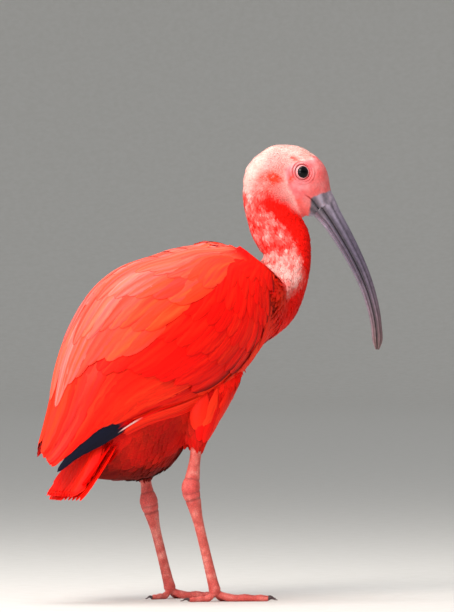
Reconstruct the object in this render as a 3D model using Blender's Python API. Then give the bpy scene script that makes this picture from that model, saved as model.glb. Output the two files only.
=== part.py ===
"""Scarlet ibis standing at rest, life size, divided into its named parts.

Metres, +Z up. The bird looks along +X, its left side is +Y, and the floor is Z = 0.
"""

import math

import bmesh
import bpy
import numpy as np
from mathutils import Vector

# Driving sizes of an adult bird
BILL_LENGTH = 0.140
EYE_RADIUS = 0.0065
GAP = 0.0003
VANE_THICKNESS = 0.00062

# The trunk's own frame: "along" runs from the breast to the tail, "up" towards the back
TRUNK_PITCH = math.radians(46)
BREAST = (0.090, 0.251)

# Trunk stations: along, back, belly, half width
TRUNK_STATIONS = (
    (0.000, 0.066, 0.016, 0.027),
    (0.015, 0.099, 0.003, 0.037),
    (0.045, 0.122, 0.004, 0.046),
    (0.080, 0.139, 0.005, 0.050),
    (0.115, 0.147, 0.004, 0.051),
    (0.150, 0.141, 0.000, 0.048),
    (0.180, 0.125, -0.003, 0.041),
    (0.205, 0.102, 0.005, 0.030),
    (0.225, 0.081, 0.022, 0.020),
    (0.240, 0.069, 0.040, 0.013),
)
TRUNK_NOSE = (-0.008, 0.042)
TRUNK_TAIL_POINT = (0.250, 0.060)

# The closed wings' outer shell: along, back, belly, half width
WING_STATIONS = (
    (0.010, 0.108, 0.008, 0.043),
    (0.045, 0.130, 0.000, 0.055),
    (0.080, 0.146, -0.002, 0.059),
    (0.115, 0.154, 0.000, 0.060),
    (0.155, 0.149, 0.010, 0.056),
    (0.187, 0.137, 0.026, 0.048),
    (0.224, 0.116, 0.042, 0.036),
    (0.258, 0.099, 0.058, 0.026),
    (0.276, 0.091, 0.066, 0.022),
)

# Edges of the right wing on that shell: along, top angle, low angle, in degrees from the back
WING_EDGES = (
    (0.015, 46, 104),
    (0.030, 28, 116),
    (0.063, 17, 137),
    (0.100, 8, 139),
    (0.144, 4, 130),
    (0.189, 3, 117),
    (0.210, 3, 113),
    (0.276, 4, 101),
)

# The wing's solid core: along, depth of its outer face under the shell, depth of its inner face
WING_CORE = (
    (0.019, 0.0030, 0.0060),
    (0.030, 0.0028, 0.0100),
    (0.060, 0.0034, 0.0110),
    (0.130, 0.0036, 0.0110),
    (0.165, 0.0038, 0.0080),
    (0.196, 0.0042, 0.0056),
)

# Feather tiers of a wing, outermost last: name, count, half width, first and last share between the
# wing's edges, root and tip along for the first and last feather, depth of root and of tip, and how
# much deeper each feather's tip lies than the next one's
WING_TIERS = (
    ("primary", 5, 0.0066, 0.90, 0.66, (0.150, 0.258), (0.168, 0.272), 0.0052, 0.0034, 0.0010),
    ("secondary", 6, 0.0090, 0.92, 0.42, (0.100, 0.192), (0.124, 0.244), 0.0050, 0.0018, 0.0002),
    ("tertial", 4, 0.0090, 0.34, 0.11, (0.128, 0.252), (0.122, 0.267), 0.0046, 0.0002, 0.0004),
    ("greater_covert", 7, 0.0092, 0.93, 0.40, (0.060, 0.122), (0.084, 0.168), 0.0045, 0.0008, 0.0),
    ("median_covert", 6, 0.0098, 0.90, 0.40, (0.032, 0.080), (0.050, 0.116), 0.0040, 0.0004, 0.0),
    ("long_scapular", 4, 0.0092, 0.42, 0.11, (0.086, 0.166), (0.078, 0.200), 0.0040, -0.0012, 0.0),
    ("short_scapular", 4, 0.0088, 0.44, 0.14, (0.050, 0.112), (0.040, 0.124), 0.0038, -0.0014, 0.0),
)

# How steeply a wing feather leans on the one below it, as rise over width
WING_TILT = 0.11

# Outline of one feather: share of its length, share of its half width
VANE_OUTLINE = ((0.00, 0.55), (0.32, 0.86), (0.66, 1.00), (0.88, 0.78), (1.00, 0.00))

# The neck and head lie in one upright plane, turned to the bird's right
NECK_TURN = math.radians(-18)
NECK_PIVOT_X = 0.070

# Neck stations: forward, height, half depth, half width
NECK_STATIONS = (
    (-0.0040, 0.3620, 0.0235, 0.0165),
    (-0.0060, 0.3450, 0.0228, 0.0165),
    (-0.0005, 0.3290, 0.0240, 0.0165),
    (0.0062, 0.3150, 0.0232, 0.0165),
    (0.0115, 0.3010, 0.0205, 0.0170),
    (0.0100, 0.2860, 0.0205, 0.0195),
    (0.0030, 0.2680, 0.0225, 0.0240),
    (-0.0060, 0.2530, 0.0225, 0.0270),
    (-0.0260, 0.2380, 0.0200, 0.0240),
    (-0.0450, 0.2280, 0.0160, 0.0180),
)

# The head's own frame: "along" runs from the nape to the bill's root
HEAD_NAPE = (-0.014, 0.372)
HEAD_PITCH = math.radians(-25.3)
BILL_ROOT = (0.0610, 0.0001)

# Head stations: along, crown, jaw, half width
HEAD_STATIONS = (
    (-0.0100, 0.0120, -0.0120, 0.0110),
    (-0.0030, 0.0240, -0.0200, 0.0155),
    (0.0100, 0.0330, -0.0230, 0.0182),
    (0.0240, 0.0370, -0.0220, 0.0188),
    (0.0380, 0.0345, -0.0188, 0.0176),
    (0.0480, 0.0292, -0.0172, 0.0154),
    (0.0560, 0.0222, -0.0150, 0.0124),
    (0.0610, 0.0170, -0.0130, 0.0104),
    (0.0680, 0.0102, -0.0110, 0.0084),
)
HEAD_BACK_POINT = (-0.0135, 0.0000)
EYE_ALONG = 0.0305
EYE_UP = 0.0151
EYE_SIDE = 0.0136
LID_RADIUS = 0.0053
LID_THICKNESS = 0.0010
LID_FACING = (0.16, 0.12)

# Bill stations: share of the length, depth, width
BILL_STATIONS = (
    (0.00, 0.0262, 0.0180),
    (0.10, 0.0205, 0.0148),
    (0.25, 0.0174, 0.0124),
    (0.45, 0.0144, 0.0106),
    (0.65, 0.0116, 0.0092),
    (0.85, 0.0093, 0.0080),
    (0.96, 0.0076, 0.0066),
    (1.00, 0.0030, 0.0028),
)
BILL_ROOT_DIP = math.radians(57)
BILL_DIP_SQUARE = math.radians(36)
MOUTH_SHARE = -0.15

# Legs: thigh stations are forward, side, height, half depth, half width, for the right leg
RIGHT_THIGH = (
    (0.004, 0.028, 0.205, 0.0210, 0.0120),
    (-0.007, 0.030, 0.188, 0.0220, 0.0145),
    (-0.016, 0.031, 0.168, 0.0185, 0.0140),
    (-0.021, 0.031, 0.150, 0.0122, 0.0110),
    (-0.0235, 0.0305, 0.1345, 0.0072, 0.0072),
)
LEFT_THIGH = (
    (-0.030, 0.026, 0.190, 0.0210, 0.0120),
    (-0.034, 0.028, 0.165, 0.0220, 0.0150),
    (-0.039, 0.029, 0.142, 0.0200, 0.0145),
    (-0.043, 0.029, 0.122, 0.0135, 0.0115),
    (-0.0445, 0.0285, 0.1055, 0.0076, 0.0076),
)
RIGHT_ANKLE = (-0.0298, 0.0300, 0.0970)
RIGHT_TOE_JOINT = (-0.0062, 0.0300, 0.0096)
LEFT_ANKLE = (-0.0415, 0.0285, 0.0960)
LEFT_TOE_JOINT = (-0.0150, 0.0375, 0.0096)
SHANK_RADIUS = 0.0046
ANKLE_RADIUS = 0.0074
TARSUS_RADIUS = 0.0040
TOE_JOINT_RADIUS = 0.0052

# Toes: name, heading from straight ahead, length without claw, root radius
TOES = (
    ("inner", 27, 0.040, 0.0031),
    ("middle", 0, 0.054, 0.0033),
    ("outer", -27, 0.046, 0.0031),
    ("hind", 172, 0.024, 0.0029),
)
CLAW_LENGTH = 0.0085
FOOT_HEADINGS = {"right": 4, "left": 14}

# The tail: along and up of its roots and tips, and how far its outermost feather lies from the middle
TAIL_ROOT = (0.2085, 0.0600)
TAIL_TIP = (0.277, 0.0535)
TAIL_ROOT_SPREAD = 0.0190
TAIL_TIP_SPREAD = 0.0285
TAIL_FEATHERS_A_SIDE = 6
TAIL_VANE_HALF_WIDTH = 0.0072
TAIL_DROP = 0.0006
CENTRE_DROP = 0.0009
TAIL_TILT = 0.06

# Where the flesh is parted: a point and the direction it faces, in the frame each is named for
HEAD_CUT_UP = -0.0165
NECK_CUT_HEIGHT = 0.3050
TRUNK_CUT_POINT = (0.0596, 0.2975)
TRUNK_CUT_FACING = (0.794, 0.608)
TAIL_CUT_ALONG = 0.2050
BILL_FACE_DIP = math.radians(39.8)

SIDES = {"right": -1, "left": 1}


def through(stations, place):
    """The values at one place on a smooth curve through the stations, whose first value is their place."""
    table = np.array(stations, float)
    places, values = table[:, 0], table[:, 1:]
    place = min(max(place, places[0]), places[-1])
    k = min(int(np.searchsorted(places, place, side="right")) - 1, len(places) - 2)
    slopes = np.gradient(values, places, axis=0)
    step = places[k + 1] - places[k]
    t = (place - places[k]) / step
    return (
        (2 * t**3 - 3 * t**2 + 1) * values[k]
        + (t**3 - 2 * t**2 + t) * step * slopes[k]
        + (3 * t**2 - 2 * t**3) * values[k + 1]
        + (t**3 - t**2) * step * slopes[k + 1]
    )


def trunk_place(along, up, side):
    """A point of the trunk's frame in the world."""
    return np.array(
        (
            BREAST[0] - along * math.cos(TRUNK_PITCH) - up * math.sin(TRUNK_PITCH),
            side,
            BREAST[1] - along * math.sin(TRUNK_PITCH) + up * math.cos(TRUNK_PITCH),
        )
    )


def shell_point(stations, along, angle):
    """A point round the trunk or the wings: angle 0 is the back, and positive angles are the bird's right."""
    back, belly, half_width = through(stations, along)
    middle, reach = (back + belly) / 2, (back - belly) / 2
    return trunk_place(along, middle + reach * math.cos(angle), -half_width * math.sin(angle))


def neck_place(forward, height, side):
    """A point of the neck's turned plane in the world."""
    return np.array(
        (
            NECK_PIVOT_X + forward * math.cos(NECK_TURN) - side * math.sin(NECK_TURN),
            forward * math.sin(NECK_TURN) + side * math.cos(NECK_TURN),
            height,
        )
    )


def head_place(along, up, side):
    """A point of the head's frame in the world."""
    forward = HEAD_NAPE[0] + along * math.cos(HEAD_PITCH) - up * math.sin(HEAD_PITCH)
    height = HEAD_NAPE[1] + along * math.sin(HEAD_PITCH) + up * math.cos(HEAD_PITCH)
    return neck_place(forward, height, side)


def oval(place, centre, half_up, half_side, count):
    """A closed ring of points in a frame: place() takes an up and a side value."""
    angles = np.linspace(0, 2 * math.pi, count, endpoint=False)
    return [place(centre + half_up * math.cos(a), half_side * math.sin(a)) for a in angles]


def new_object(name, mesh, collection):
    made = bpy.data.objects.new(name, mesh)
    collection.objects.link(made)
    return made


def loft(name, rings, collection, start=None, end=None):
    """A closed skin over rings of equal count, each end closed by a point or, without one, by a flat face."""
    bm = bmesh.new()
    rows = [[bm.verts.new(p) for p in ring] for ring in rings]
    count = len(rows[0])
    for low, high in zip(rows, rows[1:]):
        for k in range(count):
            bm.faces.new((low[k], low[(k + 1) % count], high[(k + 1) % count], high[k]))
    for row, point in ((rows[0], start), (rows[-1], end)):
        if point is None:
            bm.faces.new(row)
            continue
        tip = bm.verts.new(point)
        for k in range(count):
            bm.faces.new((row[k], row[(k + 1) % count], tip))
    bmesh.ops.recalc_face_normals(bm, faces=bm.faces)
    bmesh.ops.triangulate(bm, faces=[f for f in bm.faces if len(f.verts) > 4])
    mesh = bpy.data.meshes.new(name)
    bm.to_mesh(mesh)
    bm.free()
    return new_object(name, mesh, collection)


def tube_frame(path, k):
    """Forward, side and up directions of a path at its k-th point; side lies level."""
    ahead = np.array(path[min(k + 1, len(path) - 1)]) - np.array(path[max(k - 1, 0)])
    ahead = ahead / np.linalg.norm(ahead)
    side = np.cross((0.0, 0.0, 1.0), ahead)
    if np.linalg.norm(side) < 0.2:
        side = np.array((0.0, 1.0, 0.0)) - ahead[1] * ahead
    side = side / np.linalg.norm(side)
    return ahead, side, np.cross(ahead, side)


def tube(name, path, radii, collection, sides=10, flatten=1.0, flat_start=False, flat_end=False):
    """A closed tube along a path, its ends pointed unless flat; flatten narrows it across."""
    rings = []
    for k, (point, radius) in enumerate(zip(path, radii)):
        _, side, up = tube_frame(path, k)
        angles = np.linspace(0, 2 * math.pi, sides, endpoint=False)
        rings.append(
            [np.array(point) + radius * (up * math.cos(a) + side * flatten * math.sin(a)) for a in angles]
        )
    first, last = tube_frame(path, 0)[0], tube_frame(path, len(path) - 1)[0]
    start = None if flat_start else np.array(path[0]) - first * radii[0] * 0.6
    end = None if flat_end else np.array(path[-1]) + last * radii[-1] * 0.6
    return loft(name, rings, collection, start, end)


def boolean(target, operation, others, solver="MANIFOLD"):
    """Applies one Boolean with a collection of closed mesh objects, which are then removed."""
    operand = bpy.data.collections.new("operand")
    bpy.context.scene.collection.children.link(operand)
    for other in others:
        for home in list(other.users_collection):
            home.objects.unlink(other)
        operand.objects.link(other)
    modifier = target.modifiers.new("Join", "BOOLEAN")
    modifier.operation = operation
    modifier.operand_type = "COLLECTION"
    modifier.collection = operand
    modifier.solver = solver
    apply_modifiers(target)
    for other in list(operand.objects):
        bpy.data.objects.remove(other)
    bpy.data.collections.remove(operand)
    return target


def apply_modifiers(target):
    """Bakes the object's modifiers and its place into its mesh."""
    bpy.context.view_layer.update()
    graph = bpy.context.evaluated_depsgraph_get()
    mesh = bpy.data.meshes.new_from_object(target.evaluated_get(graph))
    mesh.transform(target.matrix_world)
    target.modifiers.clear()
    target.data = mesh
    target.matrix_world.identity()


def copy_of(source, name, collection):
    return new_object(name, source.data.copy(), collection)


def keep_largest_surface(target):
    """Leaves only the largest closed surface of a mesh."""
    bm = bmesh.new()
    bm.from_mesh(target.data)
    left, islands = set(bm.verts), []
    while left:
        todo, island = [left.pop()], set()
        while todo:
            vertex = todo.pop()
            island.add(vertex)
            near = {e.other_vert(vertex) for e in vertex.link_edges} & left
            left -= near
            todo.extend(near)
        islands.append(island)
    islands.sort(key=len)
    bmesh.ops.delete(bm, geom=[v for island in islands[:-1] for v in island], context="VERTS")
    bmesh.ops.triangulate(bm, faces=bm.faces)
    bm.to_mesh(target.data)
    bm.free()


def cut_off(target, point, normal):
    """Removes what lies on the normal's side of a plane, and closes the cut with a flat face."""
    bm = bmesh.new()
    bm.from_mesh(target.data)
    geometry = bm.verts[:] + bm.edges[:] + bm.faces[:]
    cut = bmesh.ops.bisect_plane(
        bm, geom=geometry, plane_co=point, plane_no=normal, clear_outer=True, dist=1e-7
    )
    edges = [e for e in cut["geom_cut"] if isinstance(e, bmesh.types.BMEdge)]
    bmesh.ops.edgenet_fill(bm, edges=edges)
    bmesh.ops.triangulate(bm, faces=bm.faces)
    bmesh.ops.recalc_face_normals(bm, faces=bm.faces)
    bm.to_mesh(target.data)
    bm.free()


def grown(source, name, collection, by=GAP * 1.15):
    """A copy of a closed mesh, swollen along its normals, to cut its neighbours clear of it."""
    made = copy_of(source, name, collection)
    swell = made.modifiers.new("Swell", "DISPLACE")
    swell.direction = "NORMAL"
    swell.mid_level = 0.0
    swell.strength = by
    apply_modifiers(made)
    return made


def material(name, colour, roughness, metallic=0.0):
    made = bpy.data.materials.new(name)
    made.use_nodes = True
    shader = made.node_tree.nodes["Principled BSDF"]
    shader.inputs["Base Color"].default_value = (*colour, 1.0)
    shader.inputs["Roughness"].default_value = roughness
    shader.inputs["Metallic"].default_value = metallic
    return made


def trunk_loft(collection):
    rings = []
    for along in np.linspace(TRUNK_STATIONS[0][0], TRUNK_STATIONS[-1][0], 17):
        angles = np.linspace(0, 2 * math.pi, 24, endpoint=False)
        rings.append([shell_point(TRUNK_STATIONS, along, a) for a in angles])
    nose = trunk_place(*TRUNK_NOSE, 0)
    tail = trunk_place(*TRUNK_TAIL_POINT, 0)
    return loft("trunk_form", rings, collection, nose, tail)


def neck_loft(collection):
    rings = []
    shares = np.linspace(0, 1, len(NECK_STATIONS))
    table = [(t, *station) for t, station in zip(shares, NECK_STATIONS)]
    path = [through(table, t)[:2] for t in np.linspace(0, 1, 14)]
    for k, t in enumerate(np.linspace(0, 1, 14)):
        forward, height, half_depth, half_width = through(table, t)
        ahead = path[min(k + 1, 13)] - path[max(k - 1, 0)]
        out = np.array((-ahead[1], ahead[0])) / np.linalg.norm(ahead)
        rings.append(
            oval(
                lambda up, side, f=forward, h=height, o=out: neck_place(f + up * o[0], h + up * o[1], side),
                0,
                half_depth,
                half_width,
                20,
            )
        )
    return loft("neck_form", rings, collection)


def head_loft(collection):
    rings = []
    for along in np.linspace(HEAD_STATIONS[0][0], HEAD_STATIONS[-1][0], 14):
        crown, jaw, half_width = through(HEAD_STATIONS, along)
        rings.append(
            oval(
                lambda up, side, a=along: head_place(a, up, side),
                (crown + jaw) / 2,
                (crown - jaw) / 2,
                half_width,
                20,
            )
        )
    return loft("head_form", rings, collection, start=head_place(*HEAD_BACK_POINT, 0))


def eye_centre(side):
    return head_place(EYE_ALONG, EYE_UP, side * EYE_SIDE)


def eyeball(name, side, radius, collection):
    bm = bmesh.new()
    bmesh.ops.create_uvsphere(bm, u_segments=14, v_segments=9, radius=radius)
    bmesh.ops.translate(bm, verts=bm.verts, vec=Vector(eye_centre(side)))
    mesh = bpy.data.meshes.new(name)
    bm.to_mesh(mesh)
    bm.free()
    return new_object(name, mesh, collection)


def eye_lids(side, collection):
    """The raised ring of bare skin round one eye, facing a little forwards and up as the face does."""
    across = head_place(*LID_FACING, side) - head_place(0, 0, 0)
    across = across / np.linalg.norm(across)
    centre = eye_centre(side) + across * math.sqrt(EYE_RADIUS**2 - LID_RADIUS**2)
    turn = Vector((0, 0, 1)).rotation_difference(Vector(across))
    bpy.ops.mesh.primitive_torus_add(
        major_radius=LID_RADIUS,
        minor_radius=LID_THICKNESS,
        major_segments=16,
        minor_segments=6,
        location=centre,
        rotation=turn.to_euler(),
    )
    made = bpy.context.object
    bpy.context.collection.objects.unlink(made)
    collection.objects.link(made)
    apply_modifiers(made)
    return made


def bill_axis(share):
    """Place and downward heading of the bill's middle line, in the neck's plane."""
    steps = 40
    forward, up = head_bill_root()
    for k in range(int(round(share * steps))):
        t = (k + 0.5) / steps
        dip = BILL_ROOT_DIP + BILL_DIP_SQUARE * t * t
        forward += BILL_LENGTH / steps * math.cos(dip)
        up -= BILL_LENGTH / steps * math.sin(dip)
    dip = BILL_ROOT_DIP + BILL_DIP_SQUARE * share * share
    return forward, up, dip


def head_bill_root():
    """The middle of the head's flat front face, in the neck's plane."""
    along, up = BILL_ROOT
    return (
        HEAD_NAPE[0] + along * math.cos(HEAD_PITCH) - up * math.sin(HEAD_PITCH),
        HEAD_NAPE[1] + along * math.sin(HEAD_PITCH) + up * math.cos(HEAD_PITCH),
    )


def bill_point(share, upper, angle, inset=0.0):
    """A point on the bill: angle 0 and pi are the mouth line's two sides, and pi / 2 the ridge or the keel."""
    forward, up, dip = bill_axis(share)
    depth, width = through(BILL_STATIONS, share)
    blend = min(share / 0.15, 1.0)
    lean = dip * blend + BILL_FACE_DIP * (1 - blend)
    mouth = MOUTH_SHARE * depth
    sign = 1 if upper else -1
    height = depth / 2 - sign * mouth - GAP / 2
    rise = mouth + sign * (GAP / 2 + (height - inset) * math.sin(angle) ** 0.8)
    side = (width / 2 - inset) * math.cos(angle)
    return neck_place(forward + rise * math.sin(lean), up + rise * math.cos(lean), side)


def bill_half(name, upper, collection):
    """One mandible, with a groove along each side and, on the upper one, the nostrils."""
    rings = []
    for share in np.linspace(0, 1, 15):
        rings.append([bill_point(share, upper, math.pi * k / 10) for k in range(11)])
    made = loft(name, rings, collection)
    grooves = []
    for angle in (math.radians(30), math.radians(150)):
        reach = 0.82 if upper else 0.60
        path = [bill_point(t, upper, angle, 0.0001) for t in np.linspace(0.10, reach, 9)]
        grooves.append(tube("groove", path, [0.0007] * 8 + [0.0003], collection, 6))
        if upper:
            path = [bill_point(t, upper, angle, 0.0002) for t in (0.045, 0.065, 0.085, 0.10)]
            grooves.append(tube("nostril", path, [0.0008, 0.0013, 0.0013, 0.0008], collection, 6))
    boolean(made, "DIFFERENCE", grooves)
    keep_largest_surface(made)
    return made


def gape(collection):
    """Cutters for the corner of the mouth, on both sides of the face."""
    cutters = []
    for side in (-1, 1):
        path = []
        for along in np.linspace(0.043, 0.066, 7):
            crown, jaw, half_width = through(HEAD_STATIONS, along)
            up = -0.0046 - 0.12 * (along - 0.043)
            share = (up - (crown + jaw) / 2) / ((crown - jaw) / 2)
            path.append(head_place(along, up, side * half_width * math.sqrt(1 - share * share)))
        cutters.append(tube("gape", path, [0.0002] + [0.0007] * 6, collection, 6))
    return cutters


def wing_point(along, share, depth, side):
    """A point of a wing: share runs from its top edge to its low edge, and depth lies under the outer shell."""
    top, low = through(WING_EDGES, along)
    angle = math.radians(top + (low - top) * share)
    here = shell_point(WING_STATIONS, along, angle)
    down = shell_point(WING_STATIONS, along, angle + 0.01) - here
    back = shell_point(WING_STATIONS, min(along + 0.001, 0.276), angle)
    back = back - shell_point(WING_STATIONS, min(along + 0.001, 0.276) - 0.002, angle)
    out = np.cross(back, down)
    out = out / np.linalg.norm(out)
    point = here - out * depth
    return point * (1, -side, 1), np.linalg.norm(down) / 0.01 * math.radians(low - top)


def wing_core(name, side, collection):
    """The wing's solid inside, a curved slab that the feathers are rooted in."""
    shares = (0.02, 0.07, 0.2, 0.36, 0.52, 0.68, 0.83, 0.94, 0.985)
    rings = []
    for along in (0.019, 0.024, 0.032, 0.045, 0.065, 0.09, 0.12, 0.15, 0.175, 0.196):
        outer, inner = through(WING_CORE, along)
        thin = [0.35 if share in (0.02, 0.985) else 1.0 for share in shares]
        middle = (outer + inner) / 2
        upper = [wing_point(along, s, middle - (middle - outer) * t, side)[0] for s, t in zip(shares, thin)]
        lower = [wing_point(along, s, middle + (inner - middle) * t, side)[0] for s, t in zip(shares, thin)]
        rings.append(upper + lower[::-1])
    return loft(name, rings, collection)


def vane(name, place, half_width, tilt, collection):
    """One feather's vane: place(t, across, lift) gives a point, t running from its root to its tip."""
    bm = bmesh.new()
    rows = []
    for t, share in VANE_OUTLINE[:-1]:
        row = []
        for across in (-half_width * share, half_width * share):
            for lift in (-VANE_THICKNESS / 2, VANE_THICKNESS / 2):
                row.append(bm.verts.new(place(t, across, lift + tilt * across)))
        rows.append(row)
    tip = bm.verts.new(place(1.0, 0.0, 0.0))
    sides = ((0, 1), (1, 3), (2, 3), (0, 2))
    for low, high in zip(rows, rows[1:]):
        for a, b in sides:
            bm.faces.new((low[a], low[b], high[b]))
            bm.faces.new((low[a], high[b], high[a]))
    bm.faces.new([rows[0][k] for k in (0, 1, 3)])
    bm.faces.new([rows[0][k] for k in (0, 3, 2)])
    for a, b in sides:
        bm.faces.new((rows[-1][a], rows[-1][b], tip))
    bmesh.ops.recalc_face_normals(bm, faces=bm.faces)
    mesh = bpy.data.meshes.new(name)
    bm.to_mesh(mesh)
    bm.free()
    return new_object(name, mesh, collection)


def wing(name, side, collection):
    """A folded wing: its core and its tiers of feathers, each tier lying over the one before it."""
    made = wing_core(name, side, collection)
    vanes = []
    for tier, count, half_width, first, last, low_reach, top_reach, *depths, stack in WING_TIERS:
        for k in range(count):
            step = k / (count - 1)
            share = first + (last - first) * step
            root = low_reach[0] + (top_reach[0] - low_reach[0]) * step
            tip = low_reach[1] + (top_reach[1] - low_reach[1]) * step

            tip_depth = depths[1] + stack * (count - 1 - k)

            def place(t, across, lift, share=share, root=root, tip=tip, ends=(depths[0], tip_depth)):
                along = root + (tip - root) * t
                reach = wing_point(min(along, 0.276), share, 0, side)[1]
                depth = ends[0] + (ends[1] - ends[0]) * t - lift
                point = wing_point(min(along, 0.276), share + across / reach, depth, side)[0]
                past = max(along - 0.276, 0)
                return point + (trunk_place(past, 0, 0) - trunk_place(0, 0, 0))

            vanes.append(vane(tier, place, half_width, WING_TILT, collection))
    boolean(made, "UNION", vanes)
    keep_largest_surface(made)
    return made


def tail_vanes(collection):
    vanes = []
    for side in (-1, 1):
        for k in range(TAIL_FEATHERS_A_SIDE):
            step = k / (TAIL_FEATHERS_A_SIDE - 1)

            def place(t, across, lift, side=side, step=step, k=k):
                along = TAIL_ROOT[0] + (TAIL_TIP[0] - 0.003 * step - TAIL_ROOT[0]) * t
                up = TAIL_ROOT[1] + (TAIL_TIP[1] - TAIL_ROOT[1]) * t
                spread = 0.0012 + step * (TAIL_ROOT_SPREAD + (TAIL_TIP_SPREAD - TAIL_ROOT_SPREAD) * t)
                drop = TAIL_DROP * k + (CENTRE_DROP if side > 0 else 0.0)
                return trunk_place(along, up - drop + lift, side * (spread + across))

            vanes.append(vane("rectrix", place, TAIL_VANE_HALF_WIDTH, TAIL_TILT, collection))
    return vanes


def thigh(name, side, table, collection):
    rings = []
    places = np.linspace(0, 1, len(table))
    stations = [(t, *row) for t, row in zip(places, table)]
    for t in np.linspace(0, 1, 9):
        x, y, z, half_depth, half_width = through(stations, t)
        angles = np.linspace(0, 2 * math.pi, 16, endpoint=False)
        rings.append(
            [(x + half_depth * math.cos(a), side * y + half_width * math.sin(a), z) for a in angles]
        )
    return loft(name, rings, collection)


def shank(name, side, thigh_end, ankle, toe_joint, collection):
    """The bare leg from the feathered thigh, over the ankle, to the root of the toes."""
    top, ankle, toe_joint = (np.array((p[0], side * p[1], p[2])) for p in (thigh_end, ankle, toe_joint))
    top[2] -= GAP
    upper, lower = ankle - top, toe_joint - ankle
    path = [top, top + 0.35 * upper, top + 0.75 * upper, ankle, ankle + 0.10 * lower]
    path += [ankle + 0.22 * lower, ankle + 0.60 * lower, ankle + 0.90 * lower, toe_joint]
    radii = [0.0058, SHANK_RADIUS, 0.0052, ANKLE_RADIUS, 0.0064]
    radii += [TARSUS_RADIUS + 0.0008, TARSUS_RADIUS, 0.0046, 0.0048]
    made = tube(name, path, radii, collection, 12, 0.86)
    cut_off(made, tuple(top), (0, 0, 1))
    along = lower / np.linalg.norm(lower)
    split = toe_joint - along * 0.0075
    cut_off(made, tuple(split), tuple(along))
    return made


def foot(name, side, heading, ankle, toe_joint, collection):
    """The four toes on the floor, with the joint they spring from. Returns the foot and where its claws start."""
    ankle, toe_joint = (np.array((p[0], side * p[1], p[2])) for p in (ankle, toe_joint))
    along = (toe_joint - ankle) / np.linalg.norm(toe_joint - ankle)
    split = toe_joint - along * (0.0075 - GAP)
    path = [split - along * 0.002, split + along * 0.003, toe_joint, toe_joint + along * 0.0035]
    made = tube(name, path, [0.0047, 0.0049, TOE_JOINT_RADIUS, 0.0042], collection, 12, 0.95)
    pieces, ends = [], []
    for toe, turn, length, radius in TOES:
        angle = math.radians(heading - side * turn)
        ahead = np.array((math.cos(angle), math.sin(angle), 0))
        points, radii = [], []
        for t in (0.0, 0.12, 0.26, 0.42, 0.58, 0.74, 0.88, 0.97, 1.0):
            r = radius * (1 - 0.42 * min(t, 0.97)) * (1.12 if t in (0.26, 0.58, 0.88) else 0.96)
            fall = max(1 - t / 0.26, 0.0) ** 1.4
            height = r * 0.88 + fall * (toe_joint[2] - radius * 0.88 - 0.001)
            points.append(np.array((toe_joint[0], toe_joint[1], height)) + ahead * length * t)
            radii.append(r)
        pieces.append(tube(toe, points, radii, collection, 10, 0.95, flat_end=True))
        ends.append((toe, points[-1], ahead, radii[-1]))
    boolean(made, "UNION", pieces)
    keep_largest_surface(made)
    cut_off(made, tuple(split), tuple(-along))
    cut_off(made, (0, 0, 0), (0, 0, -1))
    return made, ends


def claw(name, end, ahead, radius, collection):
    points, radii = [], []
    for t in (0.0, 0.06, 0.28, 0.5, 0.75, 0.93):
        r = max(radius * (0.90 - 0.80 * t), 0.00035)
        arch = math.sin(math.pi * min(max(t - 0.06, 0) * 1.35, 1.0))
        height = end[2] + 0.0009 * arch - max(t - 0.3, 0) * 0.0009
        points.append(np.array((end[0], end[1], max(height, r + 0.0001))) + ahead * (GAP + CLAW_LENGTH * t))
        radii.append(r)
    return tube(name, points, radii, collection, 8, 0.8, flat_start=True)


def part_flesh(flesh, collection):
    """Divides the joined flesh by thin flat cuts into head, neck, trunk and tail root."""
    head_at = head_place(0.02, HEAD_CUT_UP, 0)
    head_up = head_place(0.02, HEAD_CUT_UP + 1, 0) - head_at
    neck_at, neck_up = np.array((0.07, 0, NECK_CUT_HEIGHT)), np.array((0.0, 0.0, 1.0))
    trunk_at = np.array((TRUNK_CUT_POINT[0], 0, TRUNK_CUT_POINT[1]))
    trunk_out = np.array((TRUNK_CUT_FACING[0], 0, TRUNK_CUT_FACING[1]))
    tail_at = trunk_place(TAIL_CUT_ALONG, 0, 0)
    tail_back = trunk_place(TAIL_CUT_ALONG + 1, 0, 0) - tail_at
    face_out = neck_place(math.cos(BILL_FACE_DIP), -math.sin(BILL_FACE_DIP), 0) - neck_place(0, 0, 0)
    face_at = neck_place(*head_bill_root(), 0) - face_out * GAP
    cuts = {
        "head": ((head_at, -head_up), (face_at, face_out)),
        "neck_upper": ((head_at - head_up * GAP, head_up), (neck_at, -neck_up)),
        "neck_lower": ((neck_at - neck_up * GAP, neck_up), (trunk_at, -trunk_out)),
        "trunk": ((trunk_at - trunk_out * GAP, trunk_out), (tail_at, tail_back)),
        "tail": ((tail_at + tail_back * GAP, -tail_back),),
    }
    made = {}
    for name, planes in cuts.items():
        made[name] = copy_of(flesh, name, collection)
        for point, facing in planes:
            cut_off(made[name], tuple(point), tuple(facing))
        keep_largest_surface(made[name])
    bpy.data.objects.remove(flesh)
    return made


def minus(target, *neighbours):
    """Cuts a node clear of its neighbours."""
    helpers = [grown(other, "clearance", target.users_collection[0]) for other in neighbours]
    boolean(target, "DIFFERENCE", helpers)
    keep_largest_surface(target)


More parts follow.
